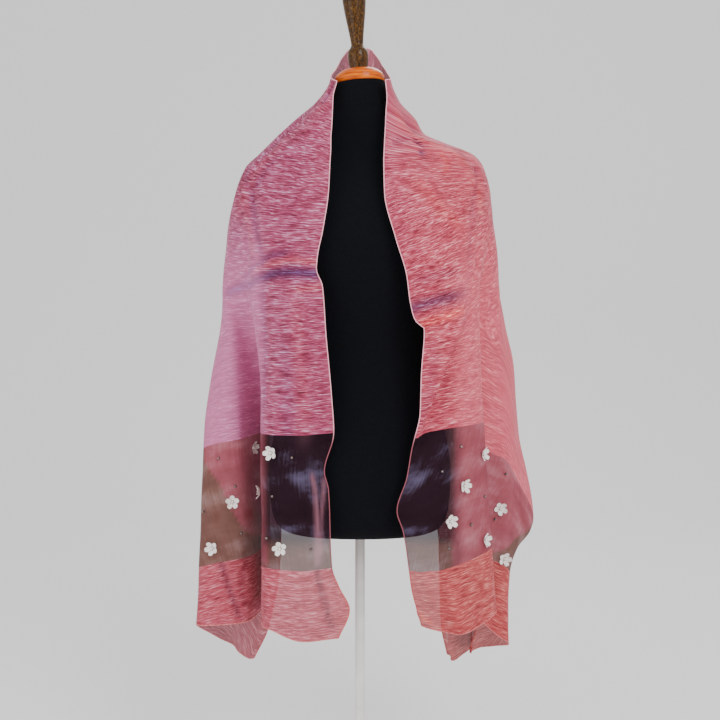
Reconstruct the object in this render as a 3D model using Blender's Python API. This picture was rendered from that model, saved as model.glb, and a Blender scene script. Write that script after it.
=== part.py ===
"""A sheer rectangular scarf worn open over a limbless dress form.

Metres, +Z up, +X to the wearer's left, which is the viewer's right, and +Y away from the viewer.
The origin is the centre of the stand's underside, on the form's upright axis.

The cloth is one surface, point_on_cloth(across, height). Its level sections are smooth curves through
the same named lines at every height: the two inner edges, the folds, the sides and the back.
"""

import math

import bpy
import numpy as np
from mathutils import Matrix, Vector
from mathutils.bvhtree import BVHTree

# Cloth
WALL = 0.0012  # thickness of the cloth
GAP = 0.0003  # clearance between pieces that touch

# Dress form and stand
FORM_BASE = 0.46  # height of the form's underside above the floor
NECK_TILT = math.radians(4.0)  # the neck's top, its cap and the finial lean to -X
CAP_HEIGHT = 0.023
BASE_RADIUS = 0.15
BASE_THICKNESS = 0.018
POLE_RADIUS = 0.008

# Flowers sewn on the organza
PETALS = 5
PETAL_REACH = 0.0110
PETAL_NOTCH = 0.0066
PETAL_THICKNESS = 0.0014
PETAL_LIFT = 0.0024

# Level sections of the form: height above its underside, half width, half depth, shift to the front
FORM_SECTIONS = (
    (0.000, 0.122, 0.082, 0.000),
    (0.004, 0.130, 0.089, 0.000),
    (0.014, 0.139, 0.096, 0.000),
    (0.040, 0.146, 0.103, 0.000),
    (0.100, 0.149, 0.108, 0.000),
    (0.200, 0.132, 0.099, 0.001),
    (0.300, 0.116, 0.089, 0.002),
    (0.380, 0.126, 0.097, 0.006),
    (0.460, 0.146, 0.104, 0.008),
    (0.520, 0.170, 0.094, 0.004),
    (0.555, 0.183, 0.081, 0.000),
    (0.580, 0.1833, 0.070, -0.002),
    (0.598, 0.1757, 0.063, -0.003),
    (0.615, 0.1580, 0.058, -0.004),
    (0.630, 0.1325, 0.055, -0.004),
    (0.646, 0.0985, 0.052, -0.004),
    (0.665, 0.079, 0.049, -0.003),
    (0.685, 0.058, 0.046, -0.002),
    (0.705, 0.046, 0.043, 0.000),
    (0.731, 0.041, 0.041, 0.000),
)
FORM_SQUARENESS = 2.3  # exponent of the form's oval sections

# Turned profiles: radius, height above the piece's own foot
CAP_PROFILE = (
    (0.0405, 0.000),
    (0.0415, 0.004),
    (0.0405, 0.011),
    (0.0360, 0.017),
    (0.0290, 0.0215),
    (0.0220, CAP_HEIGHT),
)
FINIAL_PROFILE = (
    (0.0148, 0.000),
    (0.0152, 0.005),
    (0.0166, 0.013),
    (0.0173, 0.022),
    (0.0162, 0.030),
    (0.0120, 0.037),
    (0.0101, 0.042),
    (0.0108, 0.050),
    (0.0140, 0.073),
    (0.0176, 0.098),
    (0.0196, 0.120),
    (0.0196, 0.136),
    (0.0165, 0.149),
    (0.0095, 0.158),
)
STAND_PROFILE = (
    (BASE_RADIUS, 0.0),
    (BASE_RADIUS, 0.010),
    (BASE_RADIUS - 0.006, 0.015),
    (BASE_RADIUS - 0.030, BASE_THICKNESS),
)

# The upper sections, from the collar to the chest, are ovals: height, then for each side how far out
# and how far forward its inner edge is and how far out its side is, then how far back the middle is
YOKE_LEVELS = (
    # height, left edge out, forward, left side, right edge out, forward, right side, back
    (1.280, 0.024, 0.015, 0.034, 0.024, 0.015, 0.034, 0.074),
    (1.236, 0.036, 0.030, 0.043, 0.037, 0.030, 0.044, 0.073),
    (1.190, 0.037, 0.046, 0.052, 0.041, 0.046, 0.053, 0.073),
    (1.160, 0.043, 0.054, 0.073, 0.043, 0.054, 0.066, 0.075),
    (1.130, 0.044, 0.068, 0.106, 0.041, 0.066, 0.093, 0.079),
    (1.105, 0.045, 0.080, 0.133, 0.040, 0.077, 0.108, 0.084),
    (1.090, 0.046, 0.085, 0.148, 0.039, 0.084, 0.142, 0.087),
    (1.072, 0.046, 0.091, 0.166, 0.038, 0.090, 0.187, 0.091),
    (1.050, 0.047, 0.097, 0.189, 0.037, 0.097, 0.204, 0.096),
    (1.000, 0.049, 0.112, 0.206, 0.038, 0.111, 0.216, 0.103),
)
YOKE_SQUARENESS = 2.3

# Each line that the sections run through: its share of the way round a yoke oval, from the inner edge
# to the middle of the back, then its rows below the yoke: height, out from the axis, back from the axis
LEFT_LINES = {
    "inner_edge": (0.0, (
        (0.940, 0.057, -0.124), (0.906, 0.064, -0.128), (0.885, 0.066, -0.130),
        (0.856, 0.057, -0.131), (0.777, 0.051, -0.129), (0.684, 0.043, -0.124),
        (0.632, 0.040, -0.120), (0.572, 0.054, -0.120), (0.546, 0.048, -0.120),
        (0.427, 0.043, -0.121), (0.397, 0.032, -0.122), (0.363, 0.016, -0.123),
        (0.321, 0.033, -0.125),
    )),
    "front_middle": (0.10, (
        (0.885, 0.105, -0.135), (0.800, 0.098, -0.137), (0.685, 0.090, -0.131),
        (0.572, 0.092, -0.127), (0.320, 0.088, -0.134),
    )),
    "front_fold": (0.20, (
        (0.940, 0.152, -0.112), (0.885, 0.158, -0.116), (0.850, 0.160, -0.112),
        (0.753, 0.152, -0.114), (0.634, 0.147, -0.118), (0.538, 0.147, -0.120),
        (0.324, 0.141, -0.125),
    )),
    "valley": (0.31, (
        (0.940, 0.193, -0.078), (0.885, 0.196, -0.076), (0.850, 0.188, -0.062),
        (0.800, 0.172, -0.036), (0.750, 0.163, -0.012), (0.685, 0.157, 0.008),
        (0.572, 0.155, 0.026), (0.320, 0.155, 0.038),
    )),
    "ridge": (0.41, (
        (0.940, 0.215, -0.028), (0.850, 0.222, -0.034), (0.800, 0.214, -0.034),
        (0.685, 0.200, -0.034), (0.572, 0.194, -0.038), (0.320, 0.185, -0.051),
    )),
    "side": (0.50, (
        (0.940, 0.214, 0.022), (0.850, 0.222, 0.020), (0.750, 0.236, 0.000),
        (0.625, 0.254, -0.012), (0.572, 0.257, -0.020), (0.433, 0.253, -0.042),
        (0.320, 0.257, -0.062),
    )),
    "rear_turn": (0.65, (
        (0.940, 0.184, 0.068), (0.850, 0.196, 0.080), (0.625, 0.222, 0.096),
        (0.500, 0.232, 0.098), (0.433, 0.235, 0.084), (0.370, 0.236, 0.060),
        (0.240, 0.222, 0.020),
    )),
    "outer_edge": (0.82, (
        (0.940, 0.112, 0.100), (0.850, 0.118, 0.110), (0.685, 0.130, 0.122),
        (0.500, 0.139, 0.130), (0.360, 0.142, 0.126), (0.256, 0.162, 0.105),
        (0.215, 0.184, 0.080),
    )),
}
RIGHT_LINES = {
    "inner_edge": (0.0, (
        (0.927, 0.055, -0.126), (0.875, 0.070, -0.132), (0.824, 0.077, -0.136),
        (0.803, 0.084, -0.137), (0.792, 0.097, -0.137), (0.724, 0.093, -0.135),
        (0.661, 0.091, -0.130), (0.606, 0.079, -0.124), (0.563, 0.072, -0.122),
        (0.514, 0.057, -0.122), (0.484, 0.066, -0.120), (0.423, 0.076, -0.102),
        (0.383, 0.081, -0.086), (0.319, 0.098, -0.062),
    )),
    "strip_middle": (0.12, (
        (0.940, 0.105, -0.128), (0.843, 0.118, -0.141), (0.760, 0.118, -0.141),
        (0.660, 0.099, -0.134), (0.610, 0.086, -0.127), (0.514, 0.074, -0.126),
        (0.440, 0.090, -0.115), (0.320, 0.112, -0.076),
    )),
    "strip_fold": (0.27, (
        (0.940, 0.180, -0.098), (0.843, 0.171, -0.116), (0.800, 0.161, -0.125),
        (0.760, 0.139, -0.134), (0.710, 0.121, -0.135), (0.610, 0.091, -0.126),
        (0.514, 0.092, -0.127), (0.440, 0.107, -0.120), (0.320, 0.132, -0.092),
    )),
    "under_strip": (0.31, (
        (0.940, 0.182, -0.082), (0.843, 0.167, -0.098), (0.800, 0.156, -0.106),
        (0.760, 0.133, -0.116), (0.710, 0.116, -0.118), (0.658, 0.102, -0.116),
        (0.610, 0.101, -0.118), (0.514, 0.112, -0.122), (0.440, 0.128, -0.119),
        (0.320, 0.157, -0.106),
    )),
    "panel_middle": (0.34, (
        (0.940, 0.190, -0.072), (0.843, 0.178, -0.092), (0.760, 0.168, -0.104),
        (0.660, 0.156, -0.110), (0.560, 0.155, -0.106), (0.440, 0.170, -0.098),
        (0.320, 0.190, -0.076),
    )),
    "pleat_fold": (0.38, (
        (0.940, 0.199, -0.062), (0.885, 0.192, -0.074), (0.843, 0.188, -0.072),
        (0.760, 0.191, -0.066), (0.640, 0.198, -0.055), (0.500, 0.208, -0.046),
        (0.320, 0.221, -0.036),
    )),
    "pleat_back": (0.42, (
        (0.940, 0.207, -0.050), (0.885, 0.197, -0.050), (0.843, 0.185, -0.046),
        (0.760, 0.181, -0.038), (0.640, 0.182, -0.028), (0.500, 0.190, -0.020),
        (0.320, 0.199, -0.010),
    )),
    "outer_panel": (0.46, (
        (0.940, 0.216, -0.032), (0.885, 0.214, -0.036), (0.843, 0.208, -0.032),
        (0.760, 0.210, -0.024), (0.640, 0.213, -0.014), (0.500, 0.219, -0.010),
        (0.320, 0.225, -0.008),
    )),
    "side": (0.52, (
        (0.940, 0.222, 0.012), (0.885, 0.227, 0.014), (0.843, 0.232, 0.004),
        (0.720, 0.239, -0.002), (0.560, 0.244, -0.004), (0.268, 0.247, 0.000),
    )),
    "rear_turn": (0.66, (
        (0.940, 0.202, 0.070), (0.885, 0.214, 0.076), (0.800, 0.240, 0.079),
        (0.735, 0.258, 0.080), (0.610, 0.271, 0.080), (0.546, 0.283, 0.080),
        (0.460, 0.296, 0.080), (0.440, 0.290, 0.080), (0.415, 0.266, 0.080),
        (0.388, 0.252, 0.078), (0.300, 0.236, 0.076), (0.238, 0.215, 0.070),
    )),
    "outer_edge": (0.82, (
        (0.940, 0.116, 0.100), (0.850, 0.120, 0.110), (0.685, 0.130, 0.121),
        (0.500, 0.140, 0.129), (0.320, 0.142, 0.122), (0.260, 0.143, 0.110),
        (0.213, 0.151, 0.100),
    )),
}
BACK_MIDDLE = ((0.940, 0.0, 0.108), (0.850, 0.0, 0.114), (0.685, 0.0, 0.121), (0.500, 0.0, 0.125))

# Heights at which each line meets the cloth's own edges and seams:
# line, collar edge, end of the woven field, end of the organza, hem
LEFT_SEAMS = (
    ("inner_edge", 1.186, 0.632, 0.426, 0.321),
    ("front_middle", 1.191, 0.629, 0.424, 0.318),
    ("front_fold", 1.197, 0.630, 0.427, 0.334),
    ("valley", 1.205, 0.615, 0.4185, 0.3205),
    ("ridge", 1.214, 0.610, 0.420, 0.320),
    ("side", 1.226, 0.593, 0.408, 0.320),
    ("rear_turn", 1.250, 0.545, 0.360, 0.262),
    ("outer_edge", 1.266, 0.430, 0.300, 0.215),
)
RIGHT_SEAMS = (
    ("inner_edge", 1.188, 0.625, 0.417, 0.319),
    ("strip_middle", 1.192, 0.626, 0.417, 0.318),
    ("strip_fold", 1.198, 0.628, 0.418, 0.317),
    ("under_strip", 1.202, 0.632, 0.423, 0.3196),
    ("panel_middle", 1.206, 0.640, 0.432, 0.324),
    ("pleat_fold", 1.211, 0.642, 0.438, 0.335),
    ("pleat_back", 1.216, 0.605, 0.412, 0.312),
    ("outer_panel", 1.221, 0.584, 0.4065, 0.285),
    ("side", 1.229, 0.570, 0.390, 0.268),
    ("rear_turn", 1.250, 0.450, 0.338, 0.238),
    ("outer_edge", 1.266, 0.410, 0.305, 0.213),
)
COLLAR_TOP = 1.271
# The back's lower edge, from its left end to its right end: share of the way across, height
BACK_HEM = ((0.0, 0.430), (0.04, 0.505), (0.14, 0.570), (0.5, 0.622), (0.86, 0.568), (0.96, 0.500),
            (1.0, 0.410))

# Soft upright flutes on the back: where between the lines, half width there, depth (inward ones are
# negative), height where it starts and height where it is full
BACK_FLUTES = (
    (6.45, 0.22, 0.008, 0.98, 0.70),
    (7.12, 0.17, 0.007, 1.02, 0.72),
    (7.62, 0.15, 0.009, 1.06, 0.68),
    (8.30, 0.18, 0.008, 1.00, 0.66),
    (8.85, 0.14, 0.009, 1.04, 0.70),
    (9.24, 0.10, -0.028, 0.74, 0.52),
    (9.50, 0.10, 0.031, 0.86, 0.52),
    (9.77, 0.10, -0.026, 0.72, 0.52),
)

# Share of the way down the woven field at each row of its faces
FIELD_ROWS = (0.0, 0.03, 0.06, 0.09, 0.12, 0.15, 0.175, 0.19, 0.205, 0.22, 0.24, 0.27, 0.31, 0.37, 0.44,
              0.51, 0.58, 0.66, 0.74, 0.82, 0.91, 1.0)
# Faces between each line and the next, from the left inner edge to the right one
COLUMN_STEPS = (4, 4, 5, 4, 4, 5, 4, 6, 6, 16, 5, 3, 3, 3, 3, 3, 2, 3, 4)
ORGANZA_ROWS = 6
END_BAND_ROWS = 4

# Flowers: piece of cloth, where across, height, turn in degrees
FLOWERS = (
    ("organza_left", 3.55, 0.592, 10),
    ("organza_left", 1.74, 0.603, 40),
    ("organza_left", 2.35, 0.532, 5),
    ("organza_left", 4.22, 0.511, 20),
    ("organza_left", 4.68, 0.438, 50),
    ("organza_left", 1.53, 0.458, 30),
    ("organza_left", 5.58, 0.542, 15),
    ("organza_left", 5.84, 0.460, 35),
    ("organza_left", 6.47, 0.455, 60),
    ("organza_right", 14.30, 0.592, 25),
    ("organza_right", 14.90, 0.548, 0),
    ("organza_right", 11.56, 0.493, 45),
    ("organza_right", 14.45, 0.456, 15),
    ("organza_right", 11.40, 0.410, 70),
    ("organza_right", 15.47, 0.496, 30),
    ("organza_right", 9.45, 0.385, 55),
)


def remove_everything():
    for item in list(bpy.data.objects):
        bpy.data.objects.remove(item, do_unlink=True)


def material(name, colour, roughness, metallic=0.0):
    made = bpy.data.materials.new(name)
    made.use_nodes = True
    shader = made.node_tree.nodes["Principled BSDF"]
    shader.inputs["Base Color"].default_value = (*colour, 1.0)
    shader.inputs["Roughness"].default_value = roughness
    shader.inputs["Metallic"].default_value = metallic
    return made


def add_object(name, points, faces, finish):
    """Adds a smooth-shaded mesh object with outward faces."""
    mesh = bpy.data.meshes.new(name)
    mesh.from_pydata([tuple(point) for point in points], [], faces)
    mesh.validate()
    mesh.materials.append(finish)
    mesh.shade_smooth()
    mesh.set_sharp_from_angle(angle=math.radians(40))
    made = bpy.data.objects.new(name, mesh)
    bpy.context.collection.objects.link(made)
    return made


def loft_faces(rings, segments):
    """Faces of a closed loft whose rings follow each other, with flat fans at both ends."""
    faces = []
    for ring in range(rings - 1):
        for step in range(segments):
            after = (step + 1) % segments
            low, high = ring * segments, (ring + 1) * segments
            faces.append((low + step, low + after, high + after, high + step))
    foot, top = rings * segments, rings * segments + 1
    last = (rings - 1) * segments
    for step in range(segments):
        after = (step + 1) % segments
        faces.append((foot, after, step))
        faces.append((top, last + step, last + after))
    return faces


def turned(name, profile, finish, segments):
    """A solid of revolution on +Z from (radius, height) rows that run upwards."""
    points = []
    for radius, height in profile:
        for step in range(segments):
            angle = math.tau * step / segments
            points.append((radius * math.cos(angle), radius * math.sin(angle), height))
    points.append((0.0, 0.0, profile[0][1]))
    points.append((0.0, 0.0, profile[-1][1]))
    return add_object(name, points, loft_faces(len(profile), segments), finish)


def oval(angle, half_width, half_depth, squareness):
    """A point of a squarish oval. Angle 0 is the front (-Y) and a quarter turn is the side (+X)."""
    power = 2.0 / squareness
    sine, cosine = math.sin(angle), math.cos(angle)
    return (
        half_width * math.copysign(abs(sine) ** power, sine),
        -half_depth * math.copysign(abs(cosine) ** power, cosine),
    )


def dress_form(finish, segments=36):
    points = []
    for height, half_width, half_depth, forward in FORM_SECTIONS:
        tilt = math.tan(NECK_TILT) if height > 0.72 else 0.0
        for step in range(segments):
            x, y = oval(math.tau * step / segments, half_width, half_depth, FORM_SQUARENESS)
            points.append((x, y - forward, FORM_BASE + height + x * tilt))
    points.append((0.0, 0.0, FORM_BASE))
    points.append((0.0, 0.0, FORM_BASE + FORM_SECTIONS[-1][0]))
    return add_object("form_torso", points, loft_faces(len(FORM_SECTIONS), segments), finish)


def neck_fittings(cap_finish, finial_finish):
    """The domed cap on the neck and the finial that stands on it, both square to the tilted neck."""
    lean = Matrix.Rotation(-NECK_TILT, 4, "Y")
    neck_top = Vector((0.0, 0.0, FORM_BASE + FORM_SECTIONS[-1][0]))
    cap = turned("neck_cap", CAP_PROFILE, cap_finish, segments=28)
    cap.matrix_world = Matrix.Translation(neck_top + lean @ Vector((0, 0, GAP))) @ lean
    finial = turned("finial", FINIAL_PROFILE, finial_finish, segments=20)
    seat = neck_top + lean @ Vector((0, 0, CAP_HEIGHT + 2 * GAP))
    finial.matrix_world = Matrix.Translation(seat) @ lean


def stand(base_finish, pole_finish):
    turned("stand_base", STAND_PROFILE, base_finish, segments=40)
    foot, head = BASE_THICKNESS + GAP, FORM_BASE - GAP
    turned("stand_pole", ((POLE_RADIUS, foot), (POLE_RADIUS, head)), pole_finish, segments=20)


def ease(knots, values, at):
    """Smooth values between knots, without overshoot. Knots rise; values have a row for each knot."""
    step = np.diff(knots)[:, None]
    rise = np.diff(values, axis=0) / step
    slopes = np.zeros_like(values)
    slopes[0], slopes[-1] = rise[0], rise[-1]
    before, after = rise[:-1], rise[1:]
    same_way = before * after > 0
    safe_before = np.where(same_way, before, 1.0)
    safe_after = np.where(same_way, after, 1.0)
    first, second = 2 * step[1:] + step[:-1], step[1:] + 2 * step[:-1]
    mean = (first + second) / (first / safe_before + second / safe_after)
    slopes[1:-1] = np.where(same_way, mean, 0.0)
    at = np.asarray(at, dtype=float)
    row = np.clip(np.searchsorted(knots, at, side="right") - 1, 0, len(knots) - 2)
    width = (knots[row + 1] - knots[row])[..., None]
    share = np.clip((at - knots[row])[..., None] / width, 0.0, 1.0)
    square, cube = share**2, share**3
    return (
        (2 * cube - 3 * square + 1) * values[row]
        + (cube - 2 * square + share) * width * slopes[row]
        + (3 * square - 2 * cube) * values[row + 1]
        + (cube - square) * width * slopes[row + 1]
    )


def yoke_rows(share, side):
    """One line's rows on the yoke's ovals. Side is -1 on the left and 1 on the right."""
    rows = []
    for height, *left, back in YOKE_LEVELS:
        edge_out, edge_forward, side_out = left[:3] if side < 0 else left[3:]
        start = math.asin((edge_out / side_out) ** (YOKE_SQUARENESS / 2))
        front = edge_forward / math.cos(start) ** (2 / YOKE_SQUARENESS)
        angle = start + (math.pi - start) * share
        x, y = oval(angle, side_out, front if angle < math.pi / 2 else back, YOKE_SQUARENESS)
        rows.append((height, side * x, y))
    return rows


def cloth_lines():
    """Every line in order, from the left inner edge round the back to the right inner edge, as its
    heights, rising, and its (x, y) at each."""
    rows = []
    for share, below in LEFT_LINES.values():
        rows.append(yoke_rows(share, -1) + [(height, -out, back) for height, out, back in below])
    rows.append(yoke_rows(1.0, -1) + list(BACK_MIDDLE))
    for share, below in reversed(RIGHT_LINES.values()):
        rows.append(yoke_rows(share, 1) + list(below))
    lines = []
    for line in rows:
        table = np.array(sorted(line))
        lines.append((table[:, 0], table[:, 1:]))
    return lines


CLOTH_LINES = cloth_lines()
LEFT_OUTER = len(LEFT_LINES) - 1  # number of the left outer edge's line
RIGHT_OUTER = LEFT_OUTER + 2
LAST_LINE = len(CLOTH_LINES) - 1
LEFT_SIDE = list(LEFT_LINES).index("side")
RIGHT_SIDE = LAST_LINE - list(RIGHT_LINES).index("side")


def section_point(across, height):
    """The plan position of the section at this height, by centripetal spline through the lines."""
    spots = np.stack([ease(knots, table, height) for knots, table in CLOTH_LINES])
    first, last = 2 * spots[:1] - spots[1:2], 2 * spots[-1:] - spots[-2:-1]
    spots = np.concatenate([first, spots, last])
    segment = np.clip(np.floor(across).astype(int), 0, LAST_LINE - 1)
    share = (across - segment)[..., None]
    corner = [np.take_along_axis(spots, (segment + k)[None, ..., None], axis=0)[0] for k in range(4)]
    span = [
        np.maximum(np.linalg.norm(corner[k + 1] - corner[k], axis=-1, keepdims=True), 1e-5) ** 0.5
        for k in range(3)
    ]
    slopes = []
    for k in (0, 1):
        slopes.append(span[1] * (
            (corner[k + 1] - corner[k]) / span[k]
            - (corner[k + 2] - corner[k]) / (span[k] + span[k + 1])
            + (corner[k + 2] - corner[k + 1]) / span[k + 1]
        ))
    square, cube = share**2, share**3
    return (
        (2 * cube - 3 * square + 1) * corner[1]
        + (cube - 2 * square + share) * slopes[0]
        + (3 * square - 2 * cube) * corner[2]
        + (cube - square) * slopes[1]
    )


def flute_depth(across, height):
    depth = np.zeros_like(across)
    for centre, half_width, most, start, full in BACK_FLUTES:
        grown = np.clip((start - height) / (start - full), 0.0, 1.0)
        depth += most * grown**2 * (3 - 2 * grown) * np.exp(-(((across - centre) / half_width) ** 2))
    return depth


def point_on_cloth(across, height):
    """The outer face of the cloth."""
    across, height = np.broadcast_arrays(np.asarray(across, float), np.asarray(height, float))
    reach = 1e-3
    plan = section_point(across, height)
    along = section_point(across + reach, height) - section_point(across - reach, height)
    along /= np.linalg.norm(along, axis=-1, keepdims=True)
    outward = np.stack([-along[..., 1], along[..., 0]], axis=-1)
    plan = plan + outward * flute_depth(across, height)[..., None]
    return np.concatenate([plan, height[..., None]], axis=-1)


def cloth_normal(across, height):
    """The outward unit normal of the cloth."""
    step_across, step_up = 0.02, 0.004
    low, high = np.maximum(across - step_across, 0.0), np.minimum(across + step_across, LAST_LINE)
    along = point_on_cloth(high, height) - point_on_cloth(low, height)
    up = point_on_cloth(across, height + step_up) - point_on_cloth(across, height - step_up)
    normal = np.cross(up, along)
    return normal / np.linalg.norm(normal, axis=-1, keepdims=True)


def seam_heights(column, across):
    """The height of one of the cloth's edges or seams: 1 collar, 2 field end, 3 organza end, 4 hem."""
    rows = [row[column] for row in LEFT_SEAMS]
    rows.append(COLLAR_TOP if column == 1 else rows[-1])
    rows += [row[column] for row in reversed(RIGHT_SEAMS)]
    table = np.array(rows)[:, None]
    return ease(np.arange(len(rows), dtype=float), table, across)[..., 0]


def line_direction(across, height):
    """The unit direction of the line of constant across, upwards."""
    step = 0.001
    rise = point_on_cloth(across, height + step) - point_on_cloth(across, height - step)
    return rise / np.linalg.norm(rise, axis=-1, keepdims=True)


def half_gap(column, across):
    """Half the clearance at a seam as an upright distance, so that square to the seam it is GAP / 2."""
    probe = 0.01
    ends = [np.clip(across + step, 0.0, LAST_LINE) for step in (-probe, probe)]
    heights = [seam_heights(column, end) for end in ends]
    seam = point_on_cloth(ends[1], heights[1]) - point_on_cloth(ends[0], heights[0])
    seam /= np.linalg.norm(seam, axis=-1, keepdims=True)
    line = line_direction(across, 0.5 * (heights[0] + heights[1]))
    return 0.5 * GAP * line[..., 2] / np.linalg.norm(np.cross(line, seam), axis=-1)


def back_hem(across):
    table = np.array(BACK_HEM)
    return ease(table[:, 0], table[:, 1:], (across - LEFT_OUTER) / 2)[..., 0]


def columns_between(first, last):
    """Positions across the cloth, closer together at each line, where the folds turn."""
    spots = [float(first)]
    for line in range(first, last):
        count = COLUMN_STEPS[line]
        for step in range(1, count + 1):
            spots.append(line + 0.5 - 0.5 * math.cos(math.pi * step / count))
    return np.array(spots)


def nudge_across(across, height, distance):
    """A position moved along the section, by a distance in metres square to the line it is on."""
    probe = 1e-3
    span = point_on_cloth(across + probe, height) - point_on_cloth(across - probe, height)
    apart = np.linalg.norm(np.cross(span, line_direction(across, height)), axis=-1)
    return across + distance * 2 * probe / apart


def cloth_piece(name, columns, high, low, shares, finish, open_sides=(False, False)):
    """A wall of cloth between two heights. High and low give a height for each column, shares the
    rows between them. Open sides are seams, where the wall stops half a gap short."""
    heights = high + (low - high) * np.array(shares)[:, None]
    across = np.broadcast_to(columns, heights.shape).copy()
    if open_sides[0]:
        across[:, 0] = nudge_across(across[:, 0], heights[:, 0], GAP / 2)
    if open_sides[1]:
        across[:, -1] = nudge_across(across[:, -1], heights[:, -1], -GAP / 2)
    outer = point_on_cloth(across, heights)
    inner = outer - WALL * cloth_normal(across, heights)
    rows, count = heights.shape
    size = rows * count
    points = np.concatenate([outer.reshape(-1, 3), inner.reshape(-1, 3)])
    faces = []
    for row in range(rows - 1):
        for column in range(count - 1):
            a = row * count + column
            b, c, d = a + 1, a + count + 1, a + count
            faces.append((a, b, c, d))
            faces.append((a + size, d + size, c + size, b + size))
    rim = list(range(count))
    rim += [row * count + count - 1 for row in range(1, rows)]
    rim += [(rows - 1) * count + column for column in range(count - 2, -1, -1)]
    rim += [row * count for row in range(rows - 2, 0, -1)]
    for start, end in zip(rim, rim[1:] + rim[:1]):
        # Both pieces of a seam split their rims on the same diagonal, so that the clearance stays even
        if start < end:
            faces += [(start, start + size, end + size), (start, end + size, end)]
        else:
            faces += [(start, start + size, end), (start + size, end + size, end)]
    return add_object(name, points, faces, finish)


# The stretches of the woven field: name, first line, last line
FIELD_STRETCHES = (
    ("field_left_front", 0, LEFT_SIDE),
    ("field_left_rear", LEFT_SIDE, LEFT_OUTER),
    ("field_back", LEFT_OUTER, RIGHT_OUTER),
    ("field_right_rear", RIGHT_OUTER, RIGHT_SIDE),
    ("field_right_front", RIGHT_SIDE, LAST_LINE),
)


def scarf(finishes):
    """The scarf's stretches: the woven field from edge to edge, then each tail's two bands."""
    for name, first, last in FIELD_STRETCHES:
        columns = columns_between(first, last)
        low = back_hem(columns) if name == "field_back" else seam_heights(2, columns)
        low = low + half_gap(2, columns)
        cloth_piece(name, columns, seam_heights(1, columns), low, FIELD_ROWS, finishes["field"],
                    (first > 0, last < LAST_LINE))
    for side, first, last in (("left", 0, LEFT_OUTER), ("right", RIGHT_OUTER, LAST_LINE)):
        columns = columns_between(first, last)
        field_end, organza_end = seam_heights(2, columns), seam_heights(3, columns)
        field_gap, organza_gap = half_gap(2, columns), half_gap(3, columns)
        cloth_piece(f"organza_{side}", columns, field_end - field_gap, organza_end + organza_gap,
                    np.linspace(0.0, 1.0, ORGANZA_ROWS), finishes["organza"])
        cloth_piece(f"end_band_{side}", columns, organza_end - organza_gap,
                    seam_heights(4, columns), np.linspace(0.0, 1.0, END_BAND_ROWS), finishes["end_band"])


def flower_outline(turn):
    """Five rounded petals round the middle, as distance from it and angle."""
    outline = []
    for petal in range(PETALS):
        middle = turn + math.tau * petal / PETALS
        for offset, reach in ((-0.5, PETAL_NOTCH), (-0.28, 0.92 * PETAL_REACH), (0.0, PETAL_REACH),
                              (0.28, 0.92 * PETAL_REACH)):
            outline.append((reach, middle + offset * math.tau / PETALS))
    return outline


def flower(name, panel, across, height, turn, finish):
    """A flat-backed flower that rests on the highest point of the panel under it."""
    origin = Vector(point_on_cloth(across, height).tolist())
    out = Vector(cloth_normal(np.array(across), np.array(height)).tolist())
    sideways = Vector((0, 0, 1)).cross(out).normalized()
    upwards = out.cross(sideways)
    tree = BVHTree.FromPolygons(
        [vertex.co for vertex in panel.data.vertices],
        [tuple(face.vertices) for face in panel.data.polygons],
    )

    def spot(reach, angle, lift):
        return origin + reach * (math.cos(angle) * sideways + math.sin(angle) * upwards) + lift * out

    search, rings, spokes = 0.012, 5, 24
    seat = -search
    for ring in range(rings + 1):
        for step in range(spokes):
            start = spot(PETAL_REACH * ring / rings, math.tau * step / spokes, search)
            hit = tree.ray_cast(start, -out, 2 * search)[0]
            if hit:
                seat = max(seat, (hit - origin).dot(out))
    seat += 1.5 * GAP
    outline = flower_outline(math.radians(turn))
    count = len(outline)
    lifts = [PETAL_LIFT if reach > PETAL_NOTCH else 0.5 * PETAL_LIFT for reach, _ in outline]
    points = [spot(reach, angle, seat) for reach, angle in outline]
    points += [
        spot(reach, angle, seat + PETAL_THICKNESS + lift) for (reach, angle), lift in zip(outline, lifts)
    ]
    points += [spot(0.0, 0.0, seat), spot(0.0, 0.0, seat + PETAL_THICKNESS)]
    faces = []
    for step in range(count):
        after = (step + 1) % count
        faces.append((step, after, count + after, count + step))
        faces.append((2 * count, after, step))
        faces.append((2 * count + 1, count + step, count + after))
    return add_object(name, points, faces, finish)


def flowers(finish):
    counts = {}
    for panel, across, height, turn in FLOWERS:
        side = panel.split("_")[1]
        counts[side] = counts.get(side, 0) + 1
        flower(f"flower_{side}_{counts[side]}", bpy.data.objects[panel], across, height, turn, finish)


def main():
    remove_everything()
    dress_form(material("black_cover", (0.012, 0.011, 0.013), 0.75))
    neck_fittings(material("varnished_wood", (0.36, 0.12, 0.035), 0.2),
                  material("dark_wood", (0.10, 0.045, 0.03), 0.45))
    stand(material("base_paint", (0.80, 0.79, 0.77), 0.4), material("pole_paint", (0.80, 0.79, 0.77), 0.35))
    scarf({
        "field": material("woven_field", (0.58, 0.17, 0.22), 0.6),
        "organza": material("organza", (0.42, 0.28, 0.27), 0.45),
        "end_band": material("end_band", (0.72, 0.20, 0.20), 0.6),
    })
    flowers(material("flower_fabric", (0.85, 0.82, 0.80), 0.65))


main()
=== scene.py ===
"""Looks of the sheer scarf on its dress form, in the same frame as the part's solids."""

import math

import bpy
import numpy as np
from mathutils import Matrix, Vector
from mathutils.bvhtree import BVHTree


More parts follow.
